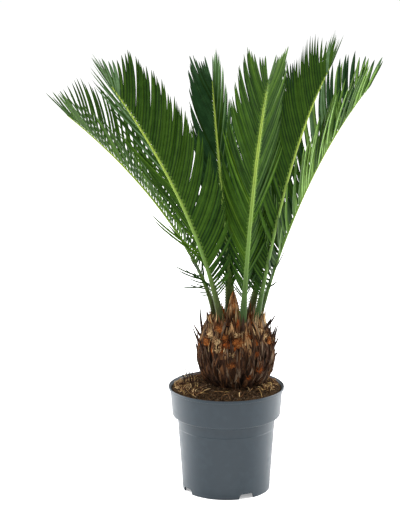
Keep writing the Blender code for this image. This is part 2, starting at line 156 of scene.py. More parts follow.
def any_way(chance: random.Random, size: float = 1.0) -> Vector:
    """Draw an offset of about a size in any direction."""
    return Vector(chance.gauss(0, size) for _ in range(3))


def number(choice: Enum) -> float:
    """Return the place of a tone or green in its list, as a seed carries it."""
    return float(list(type(choice)).index(choice))


def link_object(name: str, mesh: bpy.types.Mesh) -> bpy.types.Object:
    """Put a mesh in the scene as a named object and return it."""
    made = bpy.data.objects.new(name, mesh)
    bpy.context.scene.collection.objects.link(made)
    return made


def object_from_bmesh(shape: bmesh.types.BMesh, name: str) -> bpy.types.Object:
    """Turn a bmesh into a named object in the scene and return it."""
    mesh = bpy.data.meshes.new(name)
    shape.to_mesh(mesh)
    shape.free()
    return link_object(name, mesh)


def apply_modifiers(made: bpy.types.Object) -> None:
    """Bake an object's modifiers, trees among them, into a plain mesh."""
    graph = bpy.context.evaluated_depsgraph_get()
    baked = bpy.data.meshes.new_from_object(made.evaluated_get(graph))
    made.modifiers.clear()
    made.data = baked


def shade(made: bpy.types.Object, sharp_angle: float) -> None:
    """Shade an object smooth, with edges sharper than an angle left crisp."""
    made.data.shade_smooth()
    made.data.set_sharp_from_angle(angle=math.radians(sharp_angle))


def hand_over(piece: bpy.types.Object, slot: Slot, *nodes: str) -> None:
    """Fix a finished piece to the plant's body and report it.

    Args:
        piece: The finished piece.
        slot: The material slot of the record that it stands in; not used.
        nodes: The solids that it stands for, if any.
    """
    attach(piece, BODY)
    if nodes:
        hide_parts(*nodes)
    LOG.info("%s: %d faces", piece.name, len(piece.data.polygons))


# Node trees


class Signal:
    """A number, vector or colour that flows through a node tree, with plain arithmetic."""

    def __init__(self, maker: "NodeMaker", socket: bpy.types.NodeSocket) -> None:
        """Keep the tree's maker and the socket that the signal comes out of."""
        self.maker = maker
        self.socket = socket

    def __add__(self, other: "Signal | float") -> "Signal":
        """Return the sum."""
        return self.joined("ADD", other)

    def __sub__(self, other: "Signal | float") -> "Signal":
        """Return the difference."""
        return self.joined("SUBTRACT", other)

    def __mul__(self, other: "Signal | float") -> "Signal":
        """Return the product of two numbers, or of a vector and a number."""
        if self.is_vector:
            return self.maker.signal("ShaderNodeVectorMath", {0: self, "Scale": other}, operation="SCALE")
        return self.joined("MULTIPLY", other)

    def __pow__(self, other: "Signal | float") -> "Signal":
        """Return the power."""
        return self.joined("POWER", other)

    @property
    def is_vector(self) -> bool:
        """Whether the signal is a vector."""
        return self.socket.type == "VECTOR"

    def joined(self, operation: str, other: "Signal | float") -> "Signal":
        """Return the signal and another one of its kind put through a math node."""
        kind = "ShaderNodeVectorMath" if self.is_vector else "ShaderNodeMath"
        return self.maker.signal(kind, {0: self, 1: other}, operation=operation)

    def unit(self) -> "Signal":
        """Return the vector at a length of one."""
        return self.maker.signal("ShaderNodeVectorMath", {0: self}, operation="NORMALIZE")

    def part(self, axis: int) -> "Signal":
        """Return one coordinate of the vector."""
        return self.maker.signal("ShaderNodeSeparateXYZ", {0: self}, output=axis)


Fed = Signal | float | int | bool | str | tuple | bpy.types.NodeSocket


class NodeMaker:
    """Adds nodes to a tree and hands their outputs on as signals."""

    def __init__(self, tree: bpy.types.NodeTree) -> None:
        """Keep the tree that the nodes go in."""
        self.tree = tree

    def signal(
        self, kind: str, inputs: dict[int | str, Fed] | None = None, output: int | str = 0, **options: str
    ) -> Signal:
        """Add a node and return one of its outputs.

        Args:
            kind: The node's type.
            inputs: Signals, sockets or plain values for its inputs, by name or place.
            output: The name or place of the output.
            options: The node's own settings.

        Returns:
            The signal of that output.
        """
        made = self.tree.nodes.new(kind)
        for option, value in options.items():
            setattr(made, option, value)
        for key, value in (inputs or {}).items():
            self.feed(made.inputs[key], value)
        return Signal(self, made.outputs[output])

    def feed(self, socket: bpy.types.NodeSocket, value: Fed) -> None:
        """Link a signal to a socket, or set a plain value on it."""
        if isinstance(value, Signal):
            self.tree.links.new(value.socket, socket)
        else:
            socket.default_value = value

    def math(self, operation: str, *values: Fed) -> Signal:
        """Return the result of a math node."""
        return self.signal("ShaderNodeMath", dict(enumerate(values)), operation=operation)

    def rest(self, value: Fed) -> Signal:
        """Return one less the value."""
        return self.math("SUBTRACT", 1.0, value)

    def cross(self, first: Signal, second: Signal) -> Signal:
        """Return the cross product of two vectors."""
        return self.signal("ShaderNodeVectorMath", {0: first, 1: second}, operation="CROSS_PRODUCT")

    def dot(self, first: Signal, second: Signal) -> Signal:
        """Return the dot product of two vectors."""
        return self.signal("ShaderNodeVectorMath", {0: first, 1: second}, "Value", operation="DOT_PRODUCT")

    def noise(self, place: Signal, scale: Fed, detail: float = 3.0) -> Signal:
        """Return smooth random values about one half, with a number of bumps per metre."""
        return self.signal("ShaderNodeTexNoise", {"Vector": place, "Scale": scale, "Detail": detail})


def numbered(finishes: Sequence[bpy.types.Material]) -> dict[str, Size]:
    """Return finishes as inputs of a tree, named by their numbers."""
    return {f"Finish {index}": finish for index, finish in enumerate(finishes)}


class ShapeTree(NodeMaker):
    """A Geometry Nodes tree with named inputs, run on an object and baked into its mesh."""

    SOCKETS = {float: "NodeSocketFloat", int: "NodeSocketInt", bpy.types.Material: "NodeSocketMaterial"}
    KEPT_LAYERS = ("material_index", "sharp_face", "sharp_edge")
    DRAWN = ("FLOAT_VECTOR", "FLOAT", "INT")
    HALF_STEP = 0.5
    EVEN_LEVEL = 0.6

    def __init__(self, name: str, sizes: dict[str, Size]) -> None:
        """Make an empty tree.

        Args:
            name: The tree's name.
            sizes: Its named inputs with the values that they get.
        """
        super().__init__(bpy.data.node_groups.new(name, "GeometryNodeTree"))
        sockets = self.tree.interface
        for way in ("INPUT", "OUTPUT"):
            sockets.new_socket(name="Geometry", in_out=way, socket_type="NodeSocketGeometry")
        self.values: dict[str, Size] = {}
        for size, value in sizes.items():
            socket = sockets.new_socket(name=size, in_out="INPUT", socket_type=self.SOCKETS[type(value)])
            self.values[socket.identifier] = value
        self.entry = self.tree.nodes.new("NodeGroupInput")

    def size(self, name: str) -> Signal:
        """Return the signal of a named input."""
        return Signal(self, self.entry.outputs[name])

    def attribute(self, name: str, kind: str = "FLOAT") -> Signal:
        """Return the signal of a value that the points carry."""
        return self.signal("GeometryNodeInputNamedAttribute", {"Name": name}, data_type=kind)

    def vector(self, name: str) -> Signal:
        """Return the signal of a vector that the points carry."""
        return self.attribute(name, "FLOAT_VECTOR")

    def start(self) -> Signal:
        """Return the geometry of the object that the tree runs on."""
        return Signal(self, self.entry.outputs[0])

    def place(self) -> Signal:
        """Return the position of every point."""
        return self.signal("GeometryNodeInputPosition")

    def tube(self, sides: str, segments: str) -> Signal:
        """Return a closed tube about Z, by the names of the inputs that count its faces."""
        inputs = {
            "Vertices": self.size(sides), "Side Segments": self.size(segments), "Radius": 1.0, "Depth": 1.0
        }
        return self.signal("GeometryNodeMeshCylinder", inputs, "Mesh", fill_type="NGON")

    def stored(
        self, shape: Signal, name: str, value: Signal, kind: str = "FLOAT_VECTOR", domain: str = "POINT"
    ) -> Signal:
        """Return the geometry with a named value stored on its points or its instances."""
        inputs = {"Geometry": shape, "Name": name, "Value": value}
        return self.signal("GeometryNodeStoreNamedAttribute", inputs, data_type=kind, domain=domain)

    def drawn(self, kind: str, low: Fed, high: Fed, seed: int) -> Signal:
        """Return a random value between two limits for every point, of a type listed in DRAWN."""
        place = self.DRAWN.index(kind)
        inputs = {2 * place: low, 2 * place + 1: high, "Seed": seed}
        return self.signal("FunctionNodeRandomValue", inputs, place, data_type=kind)

    def roughened(self, shape: Signal, place: Signal, detail: float, share: Fed = 1.0) -> Signal:
        """Return the geometry with lumps as large as `Lump` and as high as `Relief`.

        Args:
            shape: The geometry so far.
            place: Where the lumps are read.
            detail: How fine they go.
            share: How much of them a point gets.

        Returns:
            The lumpy geometry.
        """
        lumps = self.noise(place, self.math("DIVIDE", 1.0, self.size("Lump")), detail) - self.EVEN_LEVEL
        normal = self.signal("GeometryNodeInputNormal")
        inputs = {"Geometry": shape, "Offset": normal * (lumps * self.size("Relief") * 2.0 * share)}
        return self.signal("GeometryNodeSetPosition", inputs)

    def dealt(self, lot: Signal, count: int) -> list[tuple[Fed, str]]:
        """Pair each numbered finish with a selection of the faces that carry its number."""
        return [
            (self.math("COMPARE", lot, float(index), self.HALF_STEP), f"Finish {index}")
            for index in range(count)
        ]

    def finish(self, shape: Signal, choices: Sequence[tuple[Fed, str]]) -> None:
        """End the tree: instances are made real and the materials are set.

        Args:
            shape: The geometry so far.
            choices: Pairs of a selection and the name of the material input that it gets.
        """
        real = self.signal("GeometryNodeRealizeInstances", {"Geometry": shape})
        for chosen, material in choices:
            inputs = {"Geometry": real, "Selection": chosen, "Material": self.size(material)}
            real = self.signal("GeometryNodeSetMaterial", inputs)
        result = self.tree.nodes.new("NodeGroupOutput")
        self.feed(result.inputs[0], real)

    def grow(self, made: bpy.types.Object, kept: Sequence[str] = ()) -> None:
        """Run the tree on an object and bake the result into its mesh.

        Args:
            made: The object that the tree starts from.
            kept: Names of the carried values that the materials read.
        """
        modifier = made.modifiers.new(self.tree.name, "NODES")
        modifier.node_group = self.tree
        for identifier, value in self.values.items():
            modifier[identifier] = value
        apply_modifiers(made)
        layers = made.data.attributes
        spare = [layer.name for layer in layers if not (layer.is_required or layer.is_internal)]
        for name in spare:
            if name not in (*kept, *self.KEPT_LAYERS):
                layers.remove(layers[name])


class SeedBed:
    """Points that a tree grows pieces on, each with its own named values."""

    def __init__(self) -> None:
        """Start with no points."""
        self.places: list[Vector] = []
        self.values: dict[str, list[Vector | float]] = {}

    def add(self, place: Vector, **values: Vector | float | Enum) -> None:
        """Add a point with its values; every point has values of the same names."""
        self.places.append(place)
        for key, value in values.items():
            self.values.setdefault(key, []).append(number(value) if isinstance(value, Enum) else value)

    def to_object(self, name: str) -> bpy.types.Object:
        """Return a mesh object of the points, which carries their values."""
        mesh = bpy.data.meshes.new(name)
        mesh.from_pydata(self.places, [], [])
        for key, values in self.values.items():
            if isinstance(values[0], Vector):
                layer = mesh.attributes.new(key, "FLOAT_VECTOR", "POINT")
                layer.data.foreach_set("vector", [axis for value in values for axis in value])
            else:
                layer = mesh.attributes.new(key, "FLOAT", "POINT")
                layer.data.foreach_set("value", values)
        return link_object(name, mesh)


@dataclass(frozen=True)
class Strip:
    """How strips of one kind taper along their length and bulge across it.

    A strip runs from its seed's place past the seed's `bend` to its `tip`, as wide and as
    deep as the seed says. The seed's `edge` points from its middle to one long edge.

    Args:
        stations: Steps along a strip.
        sides: Corners round it.
        crowding: How much closer the steps lie at the two ends.
        root_width: Width at the root, as a share of the full width.
        shoulder: Share of the length where the full width is reached.
        taper: Power that the width falls off with; the higher, the blunter the tip.
        tip_width: Least share of the width, at the tip.
        crown: How far the edges bend down, as a share of the width.
        ripple: Height of the random waves along the strip.
        collar: Share of the length at the root that has a finish of its own.
    """

    stations: int = 8
    sides: int = 6
    crowding: float = 0.1
    root_width: float = 0.6
    shoulder: float = 0.15
    taper: float = 4.0
    tip_width: float = 0.04
    crown: float = 0.15
    ripple: float = 0.0
    collar: float = 0.0

    RIM_START = 0.5
    RIPPLE_SIZE = 6 * MM
    SHARP_ANGLE = 50

    def grow(self, name: str, bed: SeedBed, finishes: Sequence[bpy.types.Material]) -> bpy.types.Object:
        """Grow a strip on every point of a seed bed.

        Args:
            name: The piece's name.
            bed: The seeds, with `bend`, `tip`, `edge`, `width`, `depth`, `tint` and `rim`.
            finishes: The materials that `tint`, and on the long edges `rim`, choose from
            by number. On leaflets the rim is a darker green, painted shade between
            neighbouring leaflets. Where the strip has a collar, the last one is the collar's.

        Returns:
            The piece as one plain mesh.
        """
        sizes: dict[str, Size] = {key.replace("_", " ").title(): value for key, value in vars(self).items()}
        tree = ShapeTree(name, sizes | numbered(finishes))
        place = tree.place()
        template = tree.stored(tree.tube("Sides", "Stations"), "ring", place)
        seeds = tree.stored(tree.start(), "root", place)
        strips = tree.signal("GeometryNodeInstanceOnPoints", {"Points": seeds, "Instance": template})
        strips = tree.signal("GeometryNodeRealizeInstances", {"Geometry": strips})
        even = tree.vector("ring").part(2) + 0.5
        crowded = tree.math("SINE", even * math.tau) * tree.size("Crowding")
        station = even - crowded
        inputs = {"Geometry": strips, "Position": self.surface(tree, station)}
        strips = tree.signal("GeometryNodeSetPosition", inputs)
        # On leaflets the rim faces get a darker green, painted shade between neighbouring leaflets; on bark,
        # straw and scales the rim is the piece's own edge colour.
        on_rim = tree.math("GREATER_THAN", tree.math("ABSOLUTE", tree.vector("ring").part(0)), self.RIM_START)
        tint = tree.attribute("tint")
        tint = tint + (tree.attribute("rim") - tint) * on_rim
        plain = len(finishes) - 1 if self.collar else len(finishes)
        choices = tree.dealt(tint, plain)
        if self.collar:
            choices.append((tree.math("LESS_THAN", station, tree.size("Collar")), f"Finish {plain}"))
        tree.finish(strips, choices)
        made = bed.to_object(name)
        tree.grow(made)
        shade(made, self.SHARP_ANGLE)
        return made

    def surface(self, tree: ShapeTree, station: Signal) -> Signal:
        """Place every point of the strips.

        Args:
            tree: The tree that the strips grow in.
            station: Share of the strip's length at a point.

        Returns:
            The position of the point.
        """
        root, bend, tip = (tree.vector(name) for name in ("root", "bend", "tip"))
        ahead = tree.rest(station)
        centre = root * (ahead * ahead) + bend * (ahead * station * 2.0) + tip * (station * station)
        along = ((bend - root) * ahead + (tip - bend) * station).unit()
        edge = tree.vector("edge")
        edge = (edge - along * tree.dot(edge, along)).unit()
        face = tree.cross(along, edge)
        opened = tree.math("MINIMUM", tree.math("DIVIDE", station, tree.size("Shoulder")), 1.0)
        widened = tree.size("Root Width") + tree.rest(tree.size("Root Width")) * opened
        narrowed = tree.rest(station ** tree.size("Taper"))
        share = tree.math("MAXIMUM", widened * narrowed, tree.size("Tip Width"))
        half_width = tree.attribute("width") * 0.5 * share
        half_depth = tree.attribute("depth") * 0.5 * share
        across = tree.vector("ring").part(0)
        fall = across * across * half_width * tree.size("Crown") * 2.0
        drift = (tree.noise(centre, 1 / self.RIPPLE_SIZE, 1.0) - 0.5) * tree.size("Ripple") * station
        lift = tree.vector("ring").part(1) * half_depth - fall + drift
        return centre + edge * (across * half_width) + face * lift


# Finishes


class Coat(NodeMaker):
    """A new material, whose Principled shader a finish feeds by name."""

    LOW, HIGH, MIXED = 6, 7, 2

    def __init__(self, name: str, colour: Colour) -> None:
        """Make the material, with a plain colour for views without shading."""
        self.material = bpy.data.materials.new(name)
        self.material.use_nodes = True
        self.material.diffuse_color = (*colour, 1.0)
        super().__init__(self.material.node_tree)
        self.shader = self.tree.nodes["Principled BSDF"]

    def set(self, name: str, value: Fed) -> None:
        """Feed an input of the shader."""
        self.feed(self.shader.inputs[name], value)

    def place(self) -> Signal:
        """Return the piece's own coordinates."""
        return self.signal("ShaderNodeTexCoord", output="Object")

    def drawn_out(self, stretch: float) -> Signal:
        """Return the piece's own coordinates, drawn out along Z."""
        return self.signal("ShaderNodeMapping", {"Vector": self.place(), "Scale": (1.0, 1.0, 1.0 / stretch)})

    def ramp(self, value: Signal, low: float, high: float) -> Signal:
        """Return how far a value has come from a low to a high limit, from 0 to 1."""
        return self.signal("ShaderNodeMapRange", {"Value": value, "From Min": low, "From Max": high})

    def mixed(self, share: Signal, low: Colour, high: Colour) -> Signal:
        """Return a colour that turns from one into another by a share."""
        inputs = {0: share, self.LOW: (*low, 1.0), self.HIGH: (*high, 1.0)}
        return self.signal("ShaderNodeMix", inputs, self.MIXED, data_type="RGBA")

    def shaded(self, colour: Signal, depth: Signal) -> Signal:
        """Return a colour times a depth."""
        inputs = {
            0: 1.0,
            self.LOW: colour,
            self.HIGH: self.signal("ShaderNodeCombineColor", {0: depth, 1: depth, 2: depth}),
        }
        return self.signal("ShaderNodeMix", inputs, self.MIXED, data_type="RGBA", blend_type="MULTIPLY")

    def emboss(self, height: Signal, relief: float) -> None:
        """Give the surface a grain of a relief."""
        inputs = {"Strength": 1.0, "Distance": relief, "Height": height}
        self.set("Normal", self.signal("ShaderNodeBump", inputs))


@dataclass(frozen=True)
class Mottled:
    """Finish whose colour drifts between two shades over a grain in relief.

    Args:
        name: The material's name.
        light: Base colour of the lighter patches.
        dark: Base colour of the darker patches.
        patch: Size of the patches.
        stretch: How many times longer the patches and the grain are along Z.
        contrast: How sharply one shade turns into the other, from 0 to 1.
        roughness: Mean roughness.
        spread: How far the roughness strays.
        grain: Size of the grain.
        relief: Height of the grain.
        specular: Strength of the reflections straight on.
    """

    name: str
    light: Colour
    dark: Colour
    patch: float = 8 * MM
    stretch: float = 1.0
    contrast: float = 0.4
    roughness: float = 0.8
    spread: float = 0.1
    grain: float = 1 * MM
    relief: float = 0.3 * MM
    specular: float = 0.03

    GRAIN_DETAIL = 4.0
    HOLLOW = 0.55

    def make(self) -> bpy.types.Material:
        """Return the finished material."""
        coat = Coat(self.name, self.light)
        place = coat.drawn_out(self.stretch)
        grain = coat.noise(place, 1 / self.grain, self.GRAIN_DETAIL)
        margin = (1 - self.contrast) / 4
        share = coat.ramp(coat.noise(place, 1 / self.patch), 0.5 - margin, 0.5 + margin)
        depth = grain * (2 - 2 * self.HOLLOW) + self.HOLLOW
        coat.set("Base Color", coat.shaded(coat.mixed(share, self.dark, self.light), depth))
        coat.set("Roughness", (grain - 0.5) * (2 * self.spread) + self.roughness)
        coat.set("Specular IOR Level", self.specular)
        coat.emboss(grain, self.relief)
        return coat.material


@dataclass(frozen=True)
class Stalk:
    """Finish of a frond's rib: dark at its foot, then paler towards its tip.

    Args:
        name: The material's name.
        foot: Base colour low on the stalk.
        middle: Base colour where the leaflets start.
        pale: Base colour of the upper rib.
    """

    name: str
    foot: Colour
    middle: Colour
    pale: Colour

    STOPS = (0.05, 0.3, 0.72)
    STRETCH = 9.0
    STREAK = 0.26
    ROUGHNESS = 0.45
    SPECULAR = 0.04
    GRAIN = 1.2 * MM
    RELIEF = 0.15 * MM

    def make(self) -> bpy.types.Material:
        """Return the finished material, which reads the share of the rib from `reach`."""
        coat = Coat(self.name, self.middle)
        reach = coat.signal("ShaderNodeAttribute", output="Fac", attribute_name="reach")
        streaks = coat.noise(coat.drawn_out(self.STRETCH), 1 / self.GRAIN)
        colour = coat.signal("ShaderNodeValToRGB", {0: reach + (streaks - 0.5) * self.STREAK})
        ramp = colour.socket.node.color_ramp
        while len(ramp.elements) < len(self.STOPS):
            ramp.elements.new(0.5)
        for element, stop, base in zip(ramp.elements, self.STOPS, (self.foot, self.middle, self.pale)):
            element.position = stop
            element.color = (*base, 1.0)
        coat.set("Base Color", colour)
        coat.set("Roughness", self.ROUGHNESS)
        coat.set("Specular IOR Level", self.SPECULAR)
        coat.emboss(streaks, self.RELIEF)
        return coat.material


@dataclass(frozen=True)
class Moulded:
    """Finish of the pot: satin slate-grey plastic with faint flow marks."""

    colour: Colour = (0.013, 0.022, 0.030)
    dusty: Colour = (0.018, 0.029, 0.038)
    roughness: float = 0.4
    specular: float = 0.3

    SMEAR = 12 * MM
    SMEAR_DETAIL = 5.0
    SMEAR_LIMITS = (0.45, 0.8)
    SMEAR_ROUGHNESS = 0.12
    PEEL = 1.5 * MM
    PEEL_DEPTH = 0.02 * MM

    def make(self) -> bpy.types.Material:
        """Return the finished material."""
        coat = Coat("slate_plastic", self.colour)
        place = coat.place()
        smears = coat.ramp(coat.noise(place, 1 / self.SMEAR, self.SMEAR_DETAIL), *self.SMEAR_LIMITS)
        coat.set("Base Color", coat.mixed(smears, self.colour, self.dusty))
        coat.set("Roughness", smears * self.SMEAR_ROUGHNESS + self.roughness)
        coat.set("Specular IOR Level", self.specular)
        coat.emboss(coat.noise(place, 1 / self.PEEL), self.PEEL_DEPTH)
        return coat.material


class Tone(Enum):
    """Finishes that are dealt out to the small pieces, in the order of their numbers."""

    BLACK_BROWN = Mottled("bark_black_brown", (0.042, 0.021, 0.013), (0.005, 0.003, 0.002), stretch=4.0)
    UMBER = Mottled("bark_umber", (0.098, 0.044, 0.019), (0.018, 0.008, 0.004), stretch=4.0)
    GREY_BROWN = Mottled("bark_grey_brown", (0.140, 0.098, 0.064), (0.032, 0.020, 0.013), stretch=4.0)
    TAN = Mottled("bark_tan", (0.300, 0.170, 0.076), (0.100, 0.048, 0.020), stretch=4.0)
    CREAM = Mottled("bark_cream", (0.520, 0.370, 0.190), (0.210, 0.125, 0.055), stretch=3.0)
    RUST = Mottled("wool_rust", (0.230, 0.058, 0.011), (0.060, 0.016, 0.005), patch=4 * MM, roughness=0.95)
    AMBER = Mottled("wool_amber", (0.310, 0.105, 0.026), (0.095, 0.028, 0.008), patch=4 * MM, roughness=0.95)
    STRAW = Mottled("straw", (0.400, 0.270, 0.105), (0.160, 0.095, 0.036), stretch=1.0)
    PEAT = Mottled("peat", (0.042, 0.024, 0.011), (0.007, 0.004, 0.002), patch=3 * MM, roughness=0.95)


class Green(Enum):
    """Finishes that are dealt out to the leaflets."""

    DEEP = ((0.023, 0.059, 0.005), (0.015, 0.043, 0.003))
    LUSH = ((0.029, 0.068, 0.005), (0.022, 0.053, 0.004))
    BRIGHT = ((0.052, 0.107, 0.007), (0.038, 0.083, 0.006))
    # Painted shade: a darker copy of the leaf green, for leaflet edges and leaflets in shade.
    SHADE = ((0.010, 0.030, 0.004), (0.006, 0.019, 0.003))
    # Painted highlight: the bluish sheen of the white surroundings on the waxy leaflets.
    BLUISH = ((0.084, 0.148, 0.064), (0.056, 0.104, 0.044))
    # Painted shade: a darker blue-green for the leaflets of the rear fronds and far rows, which lie in the
    # crown's shade.
    BACK = ((0.017, 0.048, 0.016), (0.010, 0.031, 0.010))
    OLIVE = ((0.050, 0.072, 0.010), (0.030, 0.045, 0.006))
    # Painted highlight: a pale light green for leaflets that catch the light.
    FRESH = ((0.135, 0.230, 0.055), (0.095, 0.172, 0.036))
    COLLAR = ((0.085, 0.150, 0.024), (0.060, 0.112, 0.018))

    def finish(self) -> Mottled:
        """Return the finish of this green: a leathery, lightly waxed skin."""
        light, dark = self.value
        name = "leaf_" + self.name.lower()
        return Mottled(name, light, dark, patch=14 * MM, roughness=0.45, spread=0.06, relief=0.05 * MM)


class Palette:
    """Makes each finish once and hands it out."""

    def __init__(self) -> None:
        """Make the finishes of bark, wool, straw, peat and leaflets."""
        self.tones = [tone.value.make() for tone in Tone]
        self.greens = [green.finish().make() for green in Green]

    def tone(self, tone: Tone) -> bpy.types.Material:
        """Return the material of one tone."""
        return self.tones[list(Tone).index(tone)]


DARK_BARK = (*[Tone.BLACK_BROWN] * 3, *[Tone.UMBER] * 2, Tone.GREY_BROWN)
WARM_BARK = (*[Tone.UMBER] * 3, Tone.TAN, Tone.RUST, Tone.BLACK_BROWN, Tone.GREY_BROWN)
DRY_SCALES = (*[Tone.TAN] * 2, *[Tone.UMBER] * 3, Tone.RUST, Tone.GREY_BROWN, Tone.BLACK_BROWN)
LIGHT_FIBRES = (Tone.TAN, *[Tone.UMBER] * 2, Tone.CREAM, *[Tone.BLACK_BROWN] * 2)


# Pot


Corner = tuple[float, float, float]


def rounded(corners: Sequence[Corner], steps: int) -> list[tuple[float, float]]:
    """Turn an outline's corners into arcs.

    Args:
        corners: Radius, height and rounding of each corner, in order.
        steps: Steps in each arc.

    Returns:
        The points of the outline.
    """
    points = [corners[0][:2]]
    for before, corner, after in zip(corners, corners[1:], corners[2:]):
        here = Vector(corner[:2])
        to_before = Vector(before[:2]) - here
        to_after = Vector(after[:2]) - here
        reach = min(corner[2], to_before.length / 2, to_after.length / 2)
        if not reach:
            points.append(corner[:2])
            continue
        first = here + to_before.normalized() * reach
        last = here + to_after.normalized() * reach
        for step in range(steps + 1):
            share = step / steps
            points.append(tuple(first.lerp(here, share).lerp(here.lerp(last, share), share)))
    points.append(corners[-1][:2])
    return points


def turned(name: str, outline: Sequence[tuple[float, float]], steps: int) -> bpy.types.Object:
    """Turn an outline of (radius, height) points about Z, and return the plain mesh object."""
    shape = bmesh.new()
    points = [shape.verts.new((radius, 0, height)) for radius, height in outline]
    for first, last in zip(points, points[1:]):
        shape.edges.new((first, last))
    made = object_from_bmesh(shape, name)
    screw = made.modifiers.new("turn", "SCREW")
    screw.steps = steps
    screw.render_steps = steps
    screw.use_merge_vertices = True
    screw.merge_threshold = 0.01 * MM
    apply_modifiers(made)
    return made


@dataclass
class Pot:
    """Tapered nursery pot with a band, a lip, foot notches and drain holes."""

    height: float = 156 * MM
    wall: float = 1.6 * MM
    foot_radius: float = 64 * MM
    body_top_radius: float = 72 * MM
    body_top: float = 110.8 * MM
    band_radius: float = 79.5 * MM
    band_bottom: float = 112.5 * MM
    band_top_radius: float = 82.5 * MM
    lip_radius: float = 85 * MM
    lip_height: float = 4 * MM
    edge: float = 0.6 * MM
    ring_corner: float = 0.4 * MM
    foot_corner: float = 0.8 * MM
    slight_corner: float = 1 * MM
    step_corner: float = 1.2 * MM
    wall_corner: float = 2 * MM
    band_corner: float = 3 * MM
    arc_steps: int = 5
    crisp_angle: float = 35
    inner_rise: float = 1.3 * MM
    ring_height: float = 94 * MM
    ring_width: float = 1.4 * MM
    ring_depth: float = 0.25 * MM
    channel_height: float = 8 * MM
    pad_radius: float = 36 * MM
    channel_radius: float = 62 * MM
    channel_slope: float = 2 * MM
    drain_count: int = 8
    drain_radius: float = 4.5 * MM
    drain_circle: float = 50 * MM
    drain_sides: int = 24
    notch_count: int = 4
    notch_size: tuple[float, float, float] = (14 * MM, 28 * MM, 7.4 * MM)
    notch_corner: float = 3 * MM
    notch_narrowing: float = 0.72
    first_notch: float = -62
    steps: int = 128
    finish: Moulded = field(default_factory=Moulded)

    def build(self) -> None:
        """Make the pot, cut its foot and floor, and hand it over."""
        pot = turned("pot_shell", rounded(self.corners(), self.arc_steps), self.steps)
        cutters = bpy.data.collections.new("pot_cutters")
        bpy.context.scene.collection.children.link(cutters)
        for cutter in (*self.notches(), *self.drains()):
            bpy.context.scene.collection.objects.unlink(cutter)
            cutters.objects.link(cutter)
        cut = pot.modifiers.new("cut", "BOOLEAN")
        cut.operand_type = "COLLECTION"
        cut.collection = cutters
        apply_modifiers(pot)
        for cutter in list(cutters.objects):
            bpy.data.objects.remove(cutter, do_unlink=True)
        bpy.data.collections.remove(cutters)
        pot.data.materials.clear()
        pot.data.materials.append(self.finish.make())
        shade(pot, self.crisp_angle)
        hand_over(pot, Slot.PLASTIC, "pot")

    def corners(self) -> list[Corner]:
        """Return the outline from the middle of the floor, over the lip, to the underside."""
        inner_floor = self.channel_height + self.wall
        lip_bottom = self.height - self.lip_height
        slope = (self.body_top_radius - self.foot_radius) / self.body_top
        body = [
            (self.foot_radius + slope * height, height)
            for height in (self.ring_height + self.ring_width, self.ring_height)
        ]
        ring = [
            (body[0][0], body[0][1], self.ring_corner),
            (body[0][0] + self.ring_depth, body[0][1] - self.ring_width / 3, self.ring_corner),
            (body[1][0] + self.ring_depth, body[1][1] + self.ring_width / 3, self.ring_corner),
            (body[1][0], body[1][1], self.ring_corner),
        ]
        return [
            (0, self.wall, 0),
            (self.pad_radius - self.wall, self.wall, self.slight_corner),
            (self.pad_radius - self.wall + self.channel_slope, inner_floor, self.slight_corner),
            (self.foot_radius - self.wall, inner_floor, self.wall_corner),
            (self.body_top_radius - self.wall, self.body_top + self.inner_rise, self.wall_corner),
            (self.band_radius - self.wall, self.band_bottom + self.inner_rise, self.wall_corner),
            (self.band_top_radius - self.wall, lip_bottom + self.inner_rise, self.slight_corner),
            (self.lip_radius - self.wall, self.height - self.wall, self.edge),
            (self.lip_radius - self.wall, self.height, self.edge),
            (self.lip_radius, self.height, self.edge),
            (self.lip_radius, lip_bottom, self.edge),
            (self.band_top_radius, lip_bottom - self.edge, self.edge),
            (self.band_radius, self.band_bottom, self.band_corner),
            (self.body_top_radius, self.body_top, self.step_corner),
            *ring,
            (self.foot_radius, 0, self.foot_corner),
            (self.channel_radius - self.edge, 0, self.edge),
            (self.channel_radius, self.channel_height, self.slight_corner),
            (self.pad_radius + self.channel_slope, self.channel_height, self.slight_corner),
            (self.pad_radius, 0, self.edge),
            (0, 0, 0),
        ]

    def notches(self) -> Iterator[bpy.types.Object]:
        """Make the cutters of the foot notches, round at their two upper corners."""
        depth, width, height = self.notch_size
        for index in range(self.notch_count):
            shape = bmesh.new()
            bmesh.ops.create_cube(shape, size=1, matrix=Matrix.Diagonal((depth, width, 2 * height, 1)))
            for vertex in shape.verts:
                if vertex.co.z > 0:
                    vertex.co.y *= self.notch_narrowing
            upper = [edge for edge in shape.edges if self.runs_out_on_top(edge)]
            bmesh.ops.bevel(
                shape, geom=upper, offset=self.notch_corner, segments=self.arc_steps, profile=0.5,
                affect="EDGES",
            )
            turn = Matrix.Rotation(math.radians(self.first_notch + index * 360 / self.notch_count), 4, "Z")
            place = turn @ Matrix.Translation((self.foot_radius, 0, 0))
            bmesh.ops.transform(shape, matrix=place, verts=shape.verts)
            yield object_from_bmesh(shape, "notch_cutter")

    @staticmethod
    def runs_out_on_top(edge: bmesh.types.BMEdge) -> bool:
        """Whether an edge of the cutter runs out along X at the top."""
        first, last = (vertex.co for vertex in edge.verts)
        return first.z > 0 and last.z > 0 and abs(first.x - last.x) > abs(first.y - last.y)

    def drains(self) -> Iterator[bpy.types.Object]:
        """Make the cutters of the drain holes."""
        for index in range(self.drain_count):
            azimuth = self.first_notch + (index + 0.5) * 360 / self.drain_count
            shape = bmesh.new()
            bmesh.ops.create_cone(
                shape, cap_ends=True, segments=self.drain_sides, radius1=self.drain_radius,
                radius2=self.drain_radius, depth=4 * self.wall,
                matrix=Matrix.Translation(polar(self.drain_circle, azimuth, self.channel_height)),
            )
            yield object_from_bmesh(shape, "drain_cutter")


# Soil


